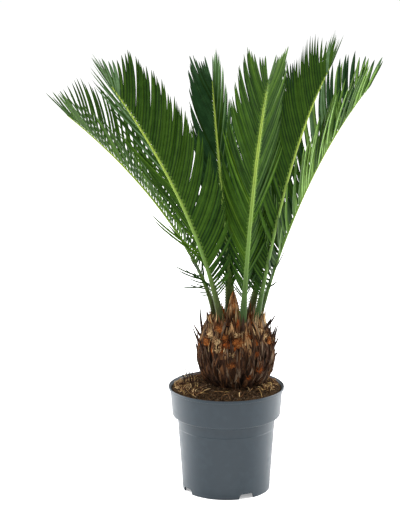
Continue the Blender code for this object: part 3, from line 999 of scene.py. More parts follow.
@dataclass
class Soil:
    """Peat that rises from the pot's wall to the trunk, with crumbs, chips and straw on it."""

    pot: Pot
    palette: Palette
    trunk_x: float
    edge: float = 153 * MM
    rise: float = 12 * MM
    swelling: float = 0.8
    lump: float = 0.7 * MM
    waves: tuple[float, float, float] = (190, 170, 260)
    wave_starts: Range = (1.3, -0.6)
    calm_edge: float = 12 * MM
    inner_radius: float = 42 * MM
    seat: float = 158 * MM
    seat_radius: float = 41.5 * MM
    clod: float = 3.2 * MM
    clod_size: float = 6 * MM
    clod_level: float = 0.4
    ring_step: float = 1.4 * MM
    steps: int = 170
    crumb_size: Range = (0.8 * MM, 3.6 * MM)
    crumb_forms: tuple[Corner, Corner] = ((0.5, 0.5, 0.35), (1.4, 0.9, 0.7))
    crumb_density: float = 150000.0
    crumb_grid: int = 60
    crumb_overlap: float = 3 * MM
    straw_count: int = 330
    straw_sectors: Sequence[Range] = ((165, 235), (-35, 25), (0, 360))
    straw_reach: tuple[float, float, float] = (42, 80, 76)
    straw_length: Range = (4, 20)
    straw_foot: float = 0.5 * MM
    straw_arch: Range = (2, 7)
    straw_tip: Range = (0.5, 3)
    straw_width: Range = (0.5, 1.5)
    straw_depth: float = 0.6 * MM
    root_count: int = 14
    root_start: float = 174
    root_step: float = 3.5
    root_reach: Range = (50, 62)
    root_span: Range = (8, 18)
    root_arch: Range = (28, 56)
    root_tip: Range = (2, 14)
    root_kink: float = 3 * MM
    root_width: float = 1.1 * MM

    def build(self) -> None:
        """Make the body of peat, then what lies on it."""
        self.build_body()
        self.build_crumbs()
        self.build_straw()
        self.build_roots()

    @property
    def rim(self) -> float:
        """Radius of the soil's upper edge."""
        return self.pot.band_top_radius - self.pot.wall - CLEARANCE - self.pot.edge

    def height_at(self, x: float, y: float) -> float:
        """Return the height of the soil's smooth mound at a point."""
        wall = self.pot.band_top_radius - self.pot.wall
        from_wall = max(wall - math.hypot(x, y), 0)
        from_trunk = max(math.hypot(x - self.trunk_x, y) - self.inner_radius, 0)
        share = from_wall / (from_wall + from_trunk)
        across, deep, slanting = self.waves
        waves = math.sin(x * across + self.wave_starts[0]) * math.cos(y * deep + self.wave_starts[1])
        lump = self.lump * (waves + math.sin((x + y) * slanting)) * min(from_wall / self.calm_edge, 1)
        return self.edge + self.rise * share**self.swelling + lump

    def build_body(self) -> None:
        """Make the closed body with a cloddy top and a level seat for the trunk."""
        pot = self.pot
        gap = pot.wall + CLEARANCE
        floor = pot.channel_height + gap
        rings = int(self.rim / self.ring_step)
        outline = [(self.rim * index / rings, self.edge) for index in range(rings + 1)]
        outline += [
            (pot.band_radius - gap, pot.band_bottom + pot.inner_rise + CLEARANCE),
            (pot.body_top_radius - gap, pot.body_top + pot.inner_rise + CLEARANCE),
            (pot.foot_radius - gap, floor),
            (pot.pad_radius - gap + pot.channel_slope, floor),
            (pot.pad_radius - gap, gap),
            (0, gap),
        ]
        body = turned("soil_body", outline, self.steps)
        for vertex in body.data.vertices:
            if vertex.co.z > self.edge - CLEARANCE:
                vertex.co.z = self.cloddy_height(vertex.co.x, vertex.co.y)
        body.data.materials.append(self.palette.tone(Tone.PEAT))
        shade(body, 60)
        hand_over(body, Slot.SOIL, "soil")

    def cloddy_height(self, x: float, y: float) -> float:
        """Return the height of the soil with its clods at a point."""
        if math.hypot(x - self.trunk_x, y) < self.seat_radius:
            return self.seat
        from_wall = self.rim - math.hypot(x, y)
        clods = noise.turbulence(Vector((x, y, 0)) / self.clod_size, 3, False) - self.clod_level
        return self.height_at(x, y) + self.clod * clods * min(from_wall / self.calm_edge + 0.3, 1)

    def crumb_ground(self) -> bpy.types.Object:
        """Return the patch of soil that the crumbs lie on, without the rim and the trunk's seat."""
        shape = bmesh.new()
        bmesh.ops.create_grid(shape, x_segments=self.crumb_grid, y_segments=self.crumb_grid, size=self.rim)
        outside = []
        for vertex in shape.verts:
            x, y = vertex.co.xy
            under_trunk = math.hypot(x - self.trunk_x, y) < self.seat_radius - self.crumb_overlap
            if math.hypot(x, y) > self.rim - self.crumb_size[1] or under_trunk:
                outside.append(vertex)
            vertex.co.z = self.cloddy_height(x, y)
        bmesh.ops.delete(shape, geom=outside, context="VERTS")
        return object_from_bmesh(shape, "soil_crumbs")

    def build_crumbs(self) -> None:
        """Scatter crumbs and chips of bark over the top, by a tree that spreads them on its faces."""
        tones = (*[Tone.PEAT] * 3, Tone.UMBER, Tone.BLACK_BROWN, Tone.GREY_BROWN)
        smallest, largest = self.crumb_size
        sizes: dict[str, Size] = {
            "Density": self.crumb_density, "Seed": 4, "Smallest": smallest, "Largest": largest
        }
        tree = ShapeTree("crumbs", sizes | numbered([self.palette.tone(tone) for tone in tones]))
        inputs = {"Mesh": tree.start(), "Density": tree.size("Density"), "Seed": tree.size("Seed")}
        places = tree.signal("GeometryNodeDistributePointsOnFaces", inputs)
        form = tree.drawn("FLOAT_VECTOR", *self.crumb_forms, seed=2)
        size = tree.drawn("FLOAT", tree.size("Smallest"), tree.size("Largest"), seed=3)
        inputs = {
            "Points": places,
            "Instance": tree.signal("GeometryNodeMeshIcoSphere", {"Radius": 0.5, "Subdivisions": 1}, "Mesh"),
            "Rotation": tree.drawn("FLOAT_VECTOR", (0.0, 0.0, 0.0), (math.tau, math.tau, math.tau), seed=1),
            "Scale": form * size,
        }
        scattered = tree.signal("GeometryNodeInstanceOnPoints", inputs)
        lot = tree.drawn("INT", 0, len(tones) - 1, seed=5)
        scattered = tree.stored(scattered, "lot", lot, "FLOAT", "INSTANCE")
        tree.finish(scattered, tree.dealt(tree.attribute("lot"), len(tones)))
        crumbs = self.crumb_ground()
        tree.grow(crumbs)
        shade(crumbs, 50)
        hand_over(crumbs, Slot.SOIL)

    def lay(self, spots: Sequence[Vector], lifts: Sequence[float]) -> None:
        """Raise each spot to its lift above the soil."""
        for spot, lift in zip(spots, lifts):
            spot.z = self.height_at(spot.x, spot.y) + lift

    def build_straw(self) -> None:
        """Lay curly straw fibres and slivers on the soil, most of them along the wall."""
        chance = random.Random(21)
        bed = SeedBed()
        tones = (Tone.STRAW, Tone.UMBER, Tone.TAN, Tone.UMBER, Tone.BLACK_BROWN, Tone.CREAM)
        while len(bed.places) < self.straw_count:
            azimuth = chance.choice([chance.uniform(*sector) for sector in self.straw_sectors])
            foot = polar(chance.triangular(*self.straw_reach) * MM, azimuth, 0)
            heading = chance.uniform(0, 360)
            length = drawn(chance, self.straw_length)
            tip = foot + polar(length, heading, 0)
            middle = foot + polar(length / 2, heading + swing(chance, 60), 0)
            spots = (foot, middle, tip)
            if not all(self.is_open(spot) for spot in spots):
                continue
            lifts = (self.straw_foot, drawn(chance, self.straw_arch), drawn(chance, self.straw_tip))
            self.lay(spots, lifts)
            tone = float(chance.randrange(len(tones)))
            bed.add(
                foot, bend=middle, tip=tip, edge=polar(1, heading + 90, 0),
                width=drawn(chance, self.straw_width), depth=self.straw_depth, tint=tone, rim=tone,
            )
        strip = Strip(stations=7, sides=4, root_width=0.5, taper=3.0, tip_width=0.2, crown=0.1, ripple=2 * MM)
        straw = strip.grow("soil_straw", bed, [self.palette.tone(tone) for tone in tones])
        hand_over(straw, Slot.SOIL)

    def build_roots(self) -> None:
        """Let wiry dark roots loop out of the soil, left of the trunk's foot."""
        chance = random.Random(33)
        bed = SeedBed()
        for index in range(self.root_count):
            azimuth = self.root_start + index * self.root_step
            foot = polar(drawn(chance, self.root_reach), azimuth, 0)
            tip = foot + polar(drawn(chance, self.root_span), azimuth + swing(chance, 80), 0)
            if not self.is_open(tip):
                tip = foot.lerp(Vector((self.trunk_x, 0, 0)), 0.1)
            middle = foot.lerp(tip, 0.5) + polar(self.root_kink, chance.uniform(0, 360), 0)
            self.lay((foot, middle, tip), (0, drawn(chance, self.root_arch), drawn(chance, self.root_tip)))
            bed.add(
                foot, bend=middle, tip=tip, edge=polar(1, azimuth, 0), width=self.root_width,
                depth=self.root_width, tint=0.0, rim=0.0,
            )
        strip = Strip(
            stations=12, sides=5, root_width=1.0, taper=4.0, tip_width=0.3, crown=0.0, ripple=3 * MM
        )
        roots = strip.grow("soil_roots", bed, [self.palette.tone(Tone.BLACK_BROWN)])
        hand_over(roots, Slot.SOIL)

    def is_open(self, spot: Vector) -> bool:
        """Whether a spot lies on the soil, clear of the pot's wall and of the trunk."""
        on_soil = math.hypot(spot.x, spot.y) < self.rim - 2 * MM
        return on_soil and math.hypot(spot.x - self.trunk_x, spot.y) > self.seat_radius + 1 * MM


# Trunk


@dataclass
class Trunk:
    """Barrel of old leaf bases with wool between them, dead stubs and a crown of dry scales.

    Args:
        profile: Height and radius of the core.
        shingles: Count, lowest and highest root, and widths of each batch of leaf bases.
        strips: Azimuth, lower end and width of the dry strips that hang from the top.
        needles: Azimuth, height, length and rise of the dead needles that show.
        pads: Azimuth, height, size and tone of the mounds of wool.
    """

    palette: Palette
    x: float = 14 * MM
    seat: float = 158.3 * MM
    top: float = 256 * MM
    profile: Table = (
        (158.3, 37), (166, 39.5), (175, 47), (190, 52), (207, 53), (228, 49), (245, 41.5), (256, 38.5)
    )
    levels: int = 70
    steps: int = 200
    relief: float = 3.2 * MM
    ridge: float = 6 * MM
    pad_relief: float = 2.4 * MM
    pad_lump: float = 3 * MM
    shingles: Sequence[tuple[int, Range, Range]] = (
        (210, (158.3, 214), (5.5, 11)),
        (110, (206, 240), (5, 11)),
        (170, (158.3, 236), (2.5, 5)),
    )
    shingle_length: Range = (13, 28)
    shingle_bulge: Range = (0.5, 4)
    shingle_flare: Range = (0.5, 6)
    shingle_depth: Range = (2.4, 5)
    spine_count: int = 16
    spine_heights: Range = (198, 248)
    spine_width: float = 4.6 * MM
    spine_depth: float = 4.0 * MM
    hidden_needles: int = 14
    hidden_start: float = 15
    hidden_sector: float = 155
    outer_scales: int = 12
    outer_radius: float = 38.5 * MM
    inner_scales: int = 7
    inner_radius: float = 21 * MM
    filling_scales: int = 90
    low_scales: int = 72
    wool_density: float = 18
    tufts: int = 70
    tuft_fibres: int = 34
    tuft_radius: float = 38 * MM
    fibre_count: int = 620
    fibre_heights: Range = (161, 242)
    fibre_length: Range = (6, 26)
    light_from: float = 216 * MM
    strips: Sequence[tuple[float, float, float]] = (
        (244, 226, 4.4),
        (258, 216, 4.8),
        (266, 232, 3.6),
        (289, 214, 4.2),
        (301, 212, 5.0),
        (314, 226, 4.2),
        (20, 222, 4.6),
        (64, 216, 4.2),
        (104, 220, 5.0),
        (150, 224, 4.4),
        (196, 226, 4.2),
    )
    needles: Sequence[tuple[float, float, float, float]] = (
        (185, 232, 56, 85),
        (204, 243, 34, 84),
        (187, 212, 32, 83),
        (182, 203, 26, 77),
        (196, 196, 17, 70),
        (333, 242, 33, 62),
        (350, 226, 32, 71),
        (355, 213, 24, 63),
        (2, 198, 14, 52),
        (345, 234, 22, 76),
    )
    pads: Sequence[tuple[float, float, float, Tone]] = (
        (208, 250, 6, Tone.CREAM),
        (235, 249, 8, Tone.AMBER),
        (216, 240, 8, Tone.CREAM),
        (214, 229, 8, Tone.AMBER),
        (249, 238, 7, Tone.AMBER),
        (255, 229, 7, Tone.RUST),
        (237, 232, 7, Tone.CREAM),
        (240, 221, 5, Tone.CREAM),
        (263, 216, 5, Tone.CREAM),
        (270, 243, 7, Tone.CREAM),
        (273, 233, 9, Tone.AMBER),
        (290, 240, 6, Tone.RUST),
        (322, 246, 7, Tone.CREAM),
        (330, 237, 7, Tone.CREAM),
        (336, 228, 7, Tone.AMBER),
        (263, 201, 5, Tone.AMBER),
        (302, 215, 5, Tone.RUST),
        (308, 192, 6, Tone.RUST),
        (290, 182, 5, Tone.RUST),
        (10, 232, 7, Tone.AMBER),
        (45, 238, 8, Tone.AMBER),
        (70, 222, 6, Tone.CREAM),
        (82, 212, 6, Tone.RUST),
        (110, 234, 8, Tone.AMBER),
        (132, 205, 5, Tone.RUST),
        (150, 226, 7, Tone.AMBER),
        (176, 241, 7, Tone.AMBER),
        (192, 222, 6, Tone.RUST),
    )

    def radius(self, height: float) -> float:
        """Return the core's radius at a height."""
        return blend([(level * MM, width * MM) for level, width in self.profile], height)

    def at(self, radius: float, azimuth: float, height: float) -> Vector:
        """Return the point at a radius and azimuth about the trunk's own axis."""
        return polar(radius, azimuth, height) + Vector((self.x, 0, 0))

    def on_side(self, azimuth: float, height: float, proud: float) -> Vector:
        """Return the point that stands out of the core's side by an amount."""
        return self.at(self.radius(height) + proud, azimuth, height)

    def build(self) -> None:
        """Make the core, then all that grows on it."""
        self.build_core()
        self.build_shingles()
        self.build_spines()
        self.build_sheaths()
        self.build_pads()
        self.build_wool()
        self.build_fibres()

    def build_core(self) -> None:
        """Make the closed core, with ridges raised by a tree that follows its surface."""
        rise = self.seat - self.top
        heights = [self.top + rise * index / self.levels for index in range(self.levels + 1)]
        outline = [(self.radius(height), height) for height in heights]
        core = turned("trunk_core", [(0, self.top), *outline, (0, self.seat)], self.steps)
        for vertex in core.data.vertices:
            vertex.co.x += self.x
        bark = self.palette.tone(Tone.BLACK_BROWN)
        tree = ShapeTree("bark_relief", {"Relief": self.relief, "Lump": self.ridge, "Bark": bark})
        upright = {0: tree.place(), 1: (1.0, 1.0, 0.2)}
        ridges = tree.signal("ShaderNodeVectorMath", upright, operation="MULTIPLY")
        level = tree.math("ABSOLUTE", tree.signal("GeometryNodeInputNormal").part(2))
        tree.finish(tree.roughened(tree.start(), ridges, 3.0, tree.rest(level)), [(True, "Bark")])
        tree.grow(core)
        shade(core, 60)
        hand_over(core, Slot.BARK, "trunk")

    def build_shingles(self) -> None:
        """Clad the barrel in the fibrous stumps of old leaf bases, in a spiral from the foot up."""
        chance = random.Random(11)
        bed = SeedBed()
        for count, levels, widths in self.shingles:
            self.seed_shingles(bed, chance, count, levels, widths)
        strip = Strip(
            stations=7, sides=8, root_width=0.85, shoulder=0.4, taper=2.2, tip_width=0.06, crown=0.35,
            ripple=3 * MM,
        )
        hand_over(strip.grow("trunk_leaf_bases", bed, self.palette.tones), Slot.BARK, "trunk")

    def seed_shingles(
        self, bed: SeedBed, chance: random.Random, count: int, levels: Range, widths: Range
    ) -> None:
        """Seed the stumps of one stretch of the barrel.

        Args:
            bed: The seeds that they join.
            chance: Source of their sizes and tones.
            count: How many there are.
            levels: Lowest and highest root, in millimetres.
            widths: Narrowest and broadest stump, in millimetres.
        """
        low, high = (level * MM for level in levels)
        for index in range(count):
            share = index / (count - 1)
            height = low + (high - low) * share
            azimuth = index * GOLDEN_ANGLE + swing(chance, 6)
            length = drawn(chance, self.shingle_length)
            middle = min(height + length / 2, self.top)
            peak = min(height + length, self.top)
            slant = swing(chance, 6)
            tint, rim = self.shingle_tones(chance, height)
            bed.add(
                self.on_side(azimuth, height, -1.5 * MM),
                bend=self.on_side(azimuth + slant / 2, middle, drawn(chance, self.shingle_bulge)),
                tip=self.at(
                    self.radius(peak) + drawn(chance, self.shingle_flare), azimuth + slant, height + length
                ),
                edge=polar(1, azimuth + 90 + swing(chance, 40), 0), width=drawn(chance, widths),
                depth=drawn(chance, self.shingle_depth), tint=tint, rim=rim,
            )

    @staticmethod
    def shingle_tones(chance: random.Random, height: float) -> tuple[Tone, Tone]:
        """Draw the face and rim tone of a stump: nearly black low down, browner near the crown."""
        share = (height / MM - 205) / 30
        face = chance.choice(WARM_BARK if chance.random() < share else DARK_BARK)
        rim = chance.choice((face, face, Tone.BLACK_BROWN, Tone.UMBER, Tone.GREY_BROWN))
        return face, rim

    def build_spines(self) -> None:
        """Set dark dead stubs and needles that stand out of the leaf bases, all round."""
        chance = random.Random(5)
        bed = SeedBed()
        low, high = self.spine_heights
        for index in range(self.spine_count):
            azimuth = index * GOLDEN_ANGLE + 20
            height = low + (high - low) * index / (self.spine_count - 1)
            rise = chance.uniform(56, 72)
            self.add_spine(bed, azimuth, height, chance.uniform(20, 30), rise)
        for azimuth, height, length, rise in self.needles:
            self.add_spine(bed, azimuth, height, length, rise)
        for index in range(self.hidden_needles):
            azimuth = self.hidden_start + self.hidden_sector * index / (self.hidden_needles - 1)
            height = chance.uniform(200, 240)
            length = chance.uniform(16, 40)
            self.add_spine(bed, azimuth, height, length, chance.uniform(60, 84))
        strip = Strip(
            stations=8, sides=6, root_width=1.0, taper=1.8, tip_width=0.1, crown=0.0, ripple=1.5 * MM
        )
        hand_over(strip.grow("trunk_spines", bed, self.palette.tones), Slot.BARK, "trunk")

    def add_spine(self, bed: SeedBed, azimuth: float, height: float, length: float, rise: float) -> None:
        """Seed one spine.

        Args:
            bed: The seeds that it joins.
            azimuth: Where it stands on the barrel.
            height: Height of its root, in millimetres.
            length: Its length, in millimetres.
            rise: Its rise from the level.
        """
        direction = rising(azimuth, rise)
        foot = self.on_side(azimuth, height * MM, 1.2 * MM)
        bed.add(
            foot, bend=foot + direction * length * MM / 2 + polar(1.5 * MM, azimuth, 0),
            tip=foot + direction * length * MM, edge=polar(1, azimuth + 90, 0), width=self.spine_width,
            depth=self.spine_depth, tint=Tone.BLACK_BROWN, rim=Tone.BLACK_BROWN,
        )

    def build_sheaths(self) -> None:
        """Stand dry pointed scales outside, between and inside the ring of stalks."""
        chance = random.Random(8)
        bed = SeedBed()
        for index in range(self.outer_scales):
            azimuth = index * 360 / self.outer_scales + swing(chance, 5)
            direction = rising(azimuth, chance.uniform(76, 84))
            length = drawn(chance, (22, 30))
            foot = self.at(self.outer_radius, azimuth, 243 * MM)
            self.add_sheath(bed, chance, foot, direction, length, 8.4 * MM)
        for index in range(self.inner_scales):
            azimuth = index * 360 / self.inner_scales + 12
            length = drawn(chance, (26, 38))
            foot = self.at(self.inner_radius, azimuth, self.top - 6 * MM)
            self.add_sheath(bed, chance, foot, rising(azimuth, 90), length, 5.2 * MM)
        for index in range(self.filling_scales):
            azimuth = index * GOLDEN_ANGLE
            reach = drawn(chance, (16, 40))
            foot = self.at(reach, azimuth, self.top - drawn(chance, (4, 9)))
            direction = rising(azimuth, chance.uniform(76, 90))
            length = drawn(chance, (12, 27))
            self.add_sheath(bed, chance, foot, direction, length, drawn(chance, (2.5, 5.5)))
        for index in range(self.low_scales):
            azimuth = index * 360 / self.low_scales + swing(chance, 3)
            foot = self.on_side(azimuth, drawn(chance, (222, 242)), 1.0 * MM)
            length = drawn(chance, (13, 27))
            direction = rising(azimuth + 180, 76)
            self.add_sheath(bed, chance, foot, direction, length, drawn(chance, (3, 6.5)))
        for azimuth, height, width in self.strips:
            tone = chance.choice((Tone.UMBER, Tone.TAN, Tone.GREY_BROWN))
            bed.add(
                self.at(36 * MM, azimuth, self.top + 5 * MM),
                bend=self.on_side(azimuth, 248 * MM, 9 * MM),
                tip=self.on_side(azimuth, height * MM, 3 * MM), edge=polar(1, azimuth + 90, 0),
                width=width * MM, depth=2 * MM, tint=tone,
                rim=chance.choice((tone, Tone.TAN, Tone.BLACK_BROWN)),
            )
        strip = Strip(
            stations=7, sides=6, root_width=0.9, taper=1.7, tip_width=0.05, crown=0.35, ripple=2 * MM
        )
        hand_over(strip.grow("trunk_sheaths", bed, self.palette.tones), Slot.BARK, "trunk")

    @staticmethod
    def add_sheath(
        bed: SeedBed, chance: random.Random, foot: Vector, direction: Vector, length: float, width: float
    ) -> None:
        """Seed one dry scale.

        Args:
            bed: The seeds that it joins.
            chance: Source of its tone and curl.
            foot: Its root.
            direction: Its direction, as a unit vector.
            length: Its length.
            width: Its width.
        """
        outward = Vector((direction.x, direction.y, 0))
        outward = outward.normalized() if outward.length > CLEARANCE else Vector((1, 0, 0))
        tone = chance.choice(DRY_SCALES)
        rim = chance.choice((tone, tone, Tone.CREAM, Tone.BLACK_BROWN, Tone.UMBER))
        bed.add(
            foot, bend=foot + direction * length / 2 + outward * chance.uniform(0, 2) * MM,
            tip=foot + direction * length, edge=outward.cross(Vector((0, 0, 1))), width=width,
            depth=drawn(chance, (1.2, 2.4)), tint=tone, rim=rim,
        )

    def build_pads(self) -> None:
        """Set lumpy mounds of wool on the barrel, by a tree that puts a flat ball on every seed."""
        bed = SeedBed()
        for azimuth, height, size, tone in self.pads:
            bed.add(
                self.on_side(azimuth, height * MM, 2.2 * MM), form=Vector((0.5, 0.95, 0.8)) * size * MM,
                turn=Vector((0, 0, math.radians(azimuth))), tint=tone,
            )
        tones = self.palette.tones
        tree = ShapeTree("wool_pads", {"Lump": self.pad_lump, "Relief": self.pad_relief} | numbered(tones))
        inputs = {
            "Points": tree.start(),
            "Instance": tree.signal("GeometryNodeMeshIcoSphere", {"Radius": 1.0, "Subdivisions": 4}, "Mesh"),
            "Scale": tree.vector("form"),
            "Rotation": tree.vector("turn"),
        }
        balls = tree.signal("GeometryNodeInstanceOnPoints", inputs)
        balls = tree.signal("GeometryNodeRealizeInstances", {"Geometry": balls})
        lumpy = tree.roughened(balls, tree.place(), 4.0)
        tree.finish(lumpy, tree.dealt(tree.attribute("tint"), len(tones)))
        pads = bed.to_object("trunk_wool_pads")
        tree.grow(pads)
        shade(pads, 80)
        hand_over(pads, Slot.BARK, "trunk")

    def build_wool(self) -> None:
        """Fuzz the mounds with short wool, and stuff more between the feet of the stalks."""
        chance = random.Random(17)
        bed = SeedBed()
        for azimuth, height, size, tone in self.pads:
            middle = self.on_side(azimuth, height * MM, 1.6 * MM)
            facing = polar(1, azimuth, 0)
            tones = (tone, tone, Tone.RUST, Tone.UMBER, Tone.UMBER, Tone.BLACK_BROWN)
            for _ in range(int(self.wool_density * size)):
                outward = any_way(chance).normalized()
                if outward.dot(facing) < 0:
                    outward = -outward
                foot = middle + (outward - facing * outward.dot(facing) * 0.45) * size * 0.8 * MM
                self.add_fibre(bed, chance, foot, outward + rising(azimuth, 70), chance.choice(tones))
        for index in range(self.tufts):
            azimuth = index * GOLDEN_ANGLE
            reach = math.sqrt((index + 0.5) / self.tufts) * self.tuft_radius
            for _ in range(self.tuft_fibres):
                foot = self.at(reach, azimuth, self.top) + any_way(chance, 1.8) * MM
                heading = any_way(chance) + Vector((0, 0, 1))
                self.add_fibre(bed, chance, foot, heading, chance.choice((Tone.RUST, Tone.UMBER, Tone.AMBER)))
        strip = Strip(stations=3, sides=3, root_width=0.8, taper=2.0, tip_width=0.15, crown=0.0)
        hand_over(strip.grow("trunk_wool", bed, self.palette.tones), Slot.BARK, "trunk")

    @staticmethod
    def add_fibre(bed: SeedBed, chance: random.Random, foot: Vector, heading: Vector, tone: Tone) -> None:
        """Seed one short curly fibre of wool that grows along a heading."""
        reach = heading.normalized() * chance.uniform(2.5, 5.5) * MM
        bed.add(
            foot, bend=foot + reach * 0.5 + any_way(chance) * MM, tip=foot + reach,
            edge=Vector((heading.y, -heading.x, 0.1 * MM)), width=drawn(chance, (0.5, 1.0)),
            depth=0.5 * MM, tint=tone, rim=tone,
        )

    def build_fibres(self) -> None:
        """Lay loose fibres and slivers along the barrel."""
        chance = random.Random(29)
        bed = SeedBed()
        for index in range(self.fibre_count):
            azimuth = index * GOLDEN_ANGLE + swing(chance, 9)
            height = drawn(chance, self.fibre_heights)
            length = drawn(chance, self.fibre_length)
            peak = min(height + length, self.top)
            proud = drawn(chance, (1.5, 6))
            slant = swing(chance, 7)
            tone = chance.choice(LIGHT_FIBRES if height > self.light_from else DARK_BARK)
            bed.add(
                self.on_side(azimuth, height, proud),
                bend=self.on_side(azimuth + slant, (height + peak) / 2, proud + 1 * MM),
                tip=self.on_side(azimuth + swing(chance, 6), peak, proud + drawn(chance, (-1, 2.5))),
                edge=polar(1, azimuth + 90, 0), width=drawn(chance, (0.5, 1.8)), depth=0.6 * MM,
                tint=tone, rim=tone,
            )
        strip = Strip(
            stations=5, sides=4, root_width=0.4, taper=2.5, tip_width=0.15, crown=0.0, ripple=1.6 * MM
        )
        hand_over(strip.grow("trunk_fibres", bed, self.palette.tones), Slot.BARK, "trunk")


@dataclass
class Bud:
    """Pointed cone of young scales in the middle of the crown."""

    palette: Palette
    floor: float
    x: float = 10 * MM
    y: float = -6 * MM
    radius: float = 11.5 * MM
    height: float = 46 * MM
    outline: Table = ((0, 1.0), (0.3, 0.78), (0.6, 0.46), (0.85, 0.2), (1.0, 0.03))
    core_share: float = 0.55
    core_top: float = 0.92
    core_tip: float = 0.95
    levels: int = 20
    steps: int = 32
    scale_count: int = 80
    scale_width: Range = (1.8, 3.4)
    scale_depth: float = 1.4 * MM

    def at(self, radius: float, azimuth: float, share: float) -> Vector:
        """Return the point at a radius, an azimuth and a share of the bud's height."""
        return Vector((self.x, self.y, self.floor)) + polar(radius, azimuth, self.height * share)

    def build(self) -> None:
        """Make the closed core and the scales that clothe it."""
        outline = [(0, self.height * self.core_tip)]
        for index in range(self.levels, -1, -1):
            share = self.core_top * index / self.levels
            outline.append((self.radius * self.core_share * blend(self.outline, share), self.height * share))
        core = turned("bud_core", [*outline, (0, 0)], self.steps)
        for vertex in core.data.vertices:
            vertex.co += Vector((self.x, self.y, self.floor))
        core.data.materials.append(self.palette.tone(Tone.BLACK_BROWN))
        shade(core, 60)
        hand_over(core, Slot.HUSK, "crown_bud")
        self.build_scales()

    def build_scales(self) -> None:
        """Clothe the cone in long narrow scales that all lean to its tip."""
        chance = random.Random(3)
        bed = SeedBed()
        tones = (*[Tone.TAN] * 3, *[Tone.UMBER] * 2, *[Tone.AMBER] * 2)
        for index in range(self.scale_count):
            share = 0.5 * index / (self.scale_count - 1)
            azimuth = index * GOLDEN_ANGLE
            reach = min(share + chance.uniform(0.45, 0.6), chance.uniform(0.9, 1.0))
            halfway = (share + reach) / 2
            tone = chance.choice(tones)
            bed.add(
                self.at(self.radius * blend(self.outline, share) * 0.75, azimuth, share),
                bend=self.at(self.radius * blend(self.outline, halfway) + 1.2 * MM, azimuth, halfway),
                tip=self.at(self.radius * blend(self.outline, reach) * 0.9, azimuth, reach),
                edge=polar(1, azimuth + 90 + swing(chance, 20), 0), width=drawn(chance, self.scale_width),
                depth=self.scale_depth, tint=tone,
                rim=chance.choice((tone, tone, Tone.CREAM, Tone.BLACK_BROWN)),
            )
        strip = Strip(
            stations=7, sides=6, root_width=0.9, taper=1.8, tip_width=0.05, crown=0.35, ripple=1 * MM
        )
        hand_over(strip.grow("bud_scales", bed, self.palette.tones), Slot.HUSK, "crown_bud")


# Fronds


@dataclass(frozen=True)
class Frame:
    """Place on a rib with its direction, its cross axis and the direction of its upper side."""

    place: Vector
    along: Vector
    across: Vector
    upper: Vector

    def mixed(self, other: "Frame", share: float) -> "Frame":
        """Return the frame at a share of the way to another one."""
        pairs = zip(vars(self).values(), vars(other).values())
        return Frame(*(low.lerp(high, share) for low, high in pairs))


@dataclass(frozen=True)
class Stand:
    """Where one leaflet stands on the rib and how it strays from the rule.

    Args:
        share: Its place on the rib, as a share of the rib's length.
        side: Its row, 1 or -1.
        turn: Turn in the plane of its row, away from the rib's tip.
        lift: Turn out of the plane of its row, to its upper side.
        reach: Factor on its length.
    """

    share: float
    side: int
    turn: float = 0.0
    lift: float = 0.0
    reach: float = 1.0


@dataclass(frozen=True)
class Leaflet:
    """One leaflet's centre line, with its broad side and its width.

    Args:
        root: Where it leaves the rib.
        bend: Control point of its curve.
        tip: Its tip.
        edge: Direction from its middle to the edge nearer the frond's tip.
        keel: Direction out of its lower side.
        width: Its greatest width.
    """

    root: Vector
    bend: Vector
    tip: Vector
    edge: Vector
    keel: Vector
    width: float

    SOLID_OUTLINE = ((0.0, 0.75), (0.5, 1.0), (0.97, 0.1))

    def centre(self, share: float) -> Vector:
        """Return the point of the centre line at a share of its length."""
        return self.root.lerp(self.bend, share).lerp(self.bend.lerp(self.tip, share), share)

    def solid(self, space: float, depth: float) -> "Solid":
        """Return the leaflet's rough shape with some space round it, to test for touching."""
        rings = []
        for share, width in self.SOLID_OUTLINE:
            centre = self.centre(share)
            reach = self.edge * (self.width / 2 + space) * width
            rings.append((centre + reach, centre - reach, centre + self.keel * (depth + space)))
        return Solid(rings)


class Solid:
    """Closed shape through rings of points, with a search tree of its faces."""

    def __init__(self, rings: Sequence[Sequence[Vector]]) -> None:
        """Join the rings by faces and close both ends."""
        count = len(rings[0])
        corners = [point for ring in rings for point in ring]
        faces = [tuple(range(count)), tuple(range(len(corners) - count, len(corners)))]
        for base in range(0, len(corners) - count, count):
            for index in range(count):
                following = (index + 1) % count
                faces.append((base + index, base + following, base + following + count, base + index + count))
        self.tree = BVHTree.FromPolygons(corners, faces)
        self.low = [min(corner[axis] for corner in corners) for axis in range(3)]
        self.high = [max(corner[axis] for corner in corners) for axis in range(3)]

    def touches(self, other: "Solid") -> bool:
        """Whether the two shapes cut each other."""
        for axis in range(3):
            if self.low[axis] > other.high[axis] or other.low[axis] > self.high[axis]:
                return False
        return bool(self.tree.overlap(other.tree))


@dataclass(frozen=True)
class Row:
    """How one row of a frond's leaflets is coloured, folded and opened.

    Args:
        greens: The tones of its leaflets, dealt out at random.
        tips: The tones in the outer part of the frond, where they differ.
        outer: Share of the rib's length where the outer part starts.
        rise: How far the row is folded up from level along the rib; below level it hangs.
        louver: Turn of each leaflet about its own line, which opens or closes the row.
        breadth: Factor on the width of its leaflets.
        tangle: Greatest stray of a single leaflet, in the plane of its row and out of it.
    """

    greens: tuple[Green, ...]
    tips: tuple[Green, ...] = ()
    outer: float = 0.42
    rise: Table = ((0, 45), (1, 45))
    louver: float = 8.0
    breadth: float = 1.0
    tangle: Range = (0.4, 1.5)

    # Share of the rib below which the leaflets get darker greens: painted shade, deep in the crown.
    LOW_PART = 0.2

    def greens_at(self, share: float) -> tuple[Green, ...]:
        """Return the tones that hold at a share of the rib's length; low on the rib they are darker greens,
        painted shade deep in the crown.
        """
        if share < self.LOW_PART:
            return LOW_SHADE_MIX
        return self.tips if self.tips and share > self.outer else self.greens

    def rise_at(self, share: float) -> float:
        """Return how far the row is folded up at a share of the rib's length."""
        return blend(self.rise, share)


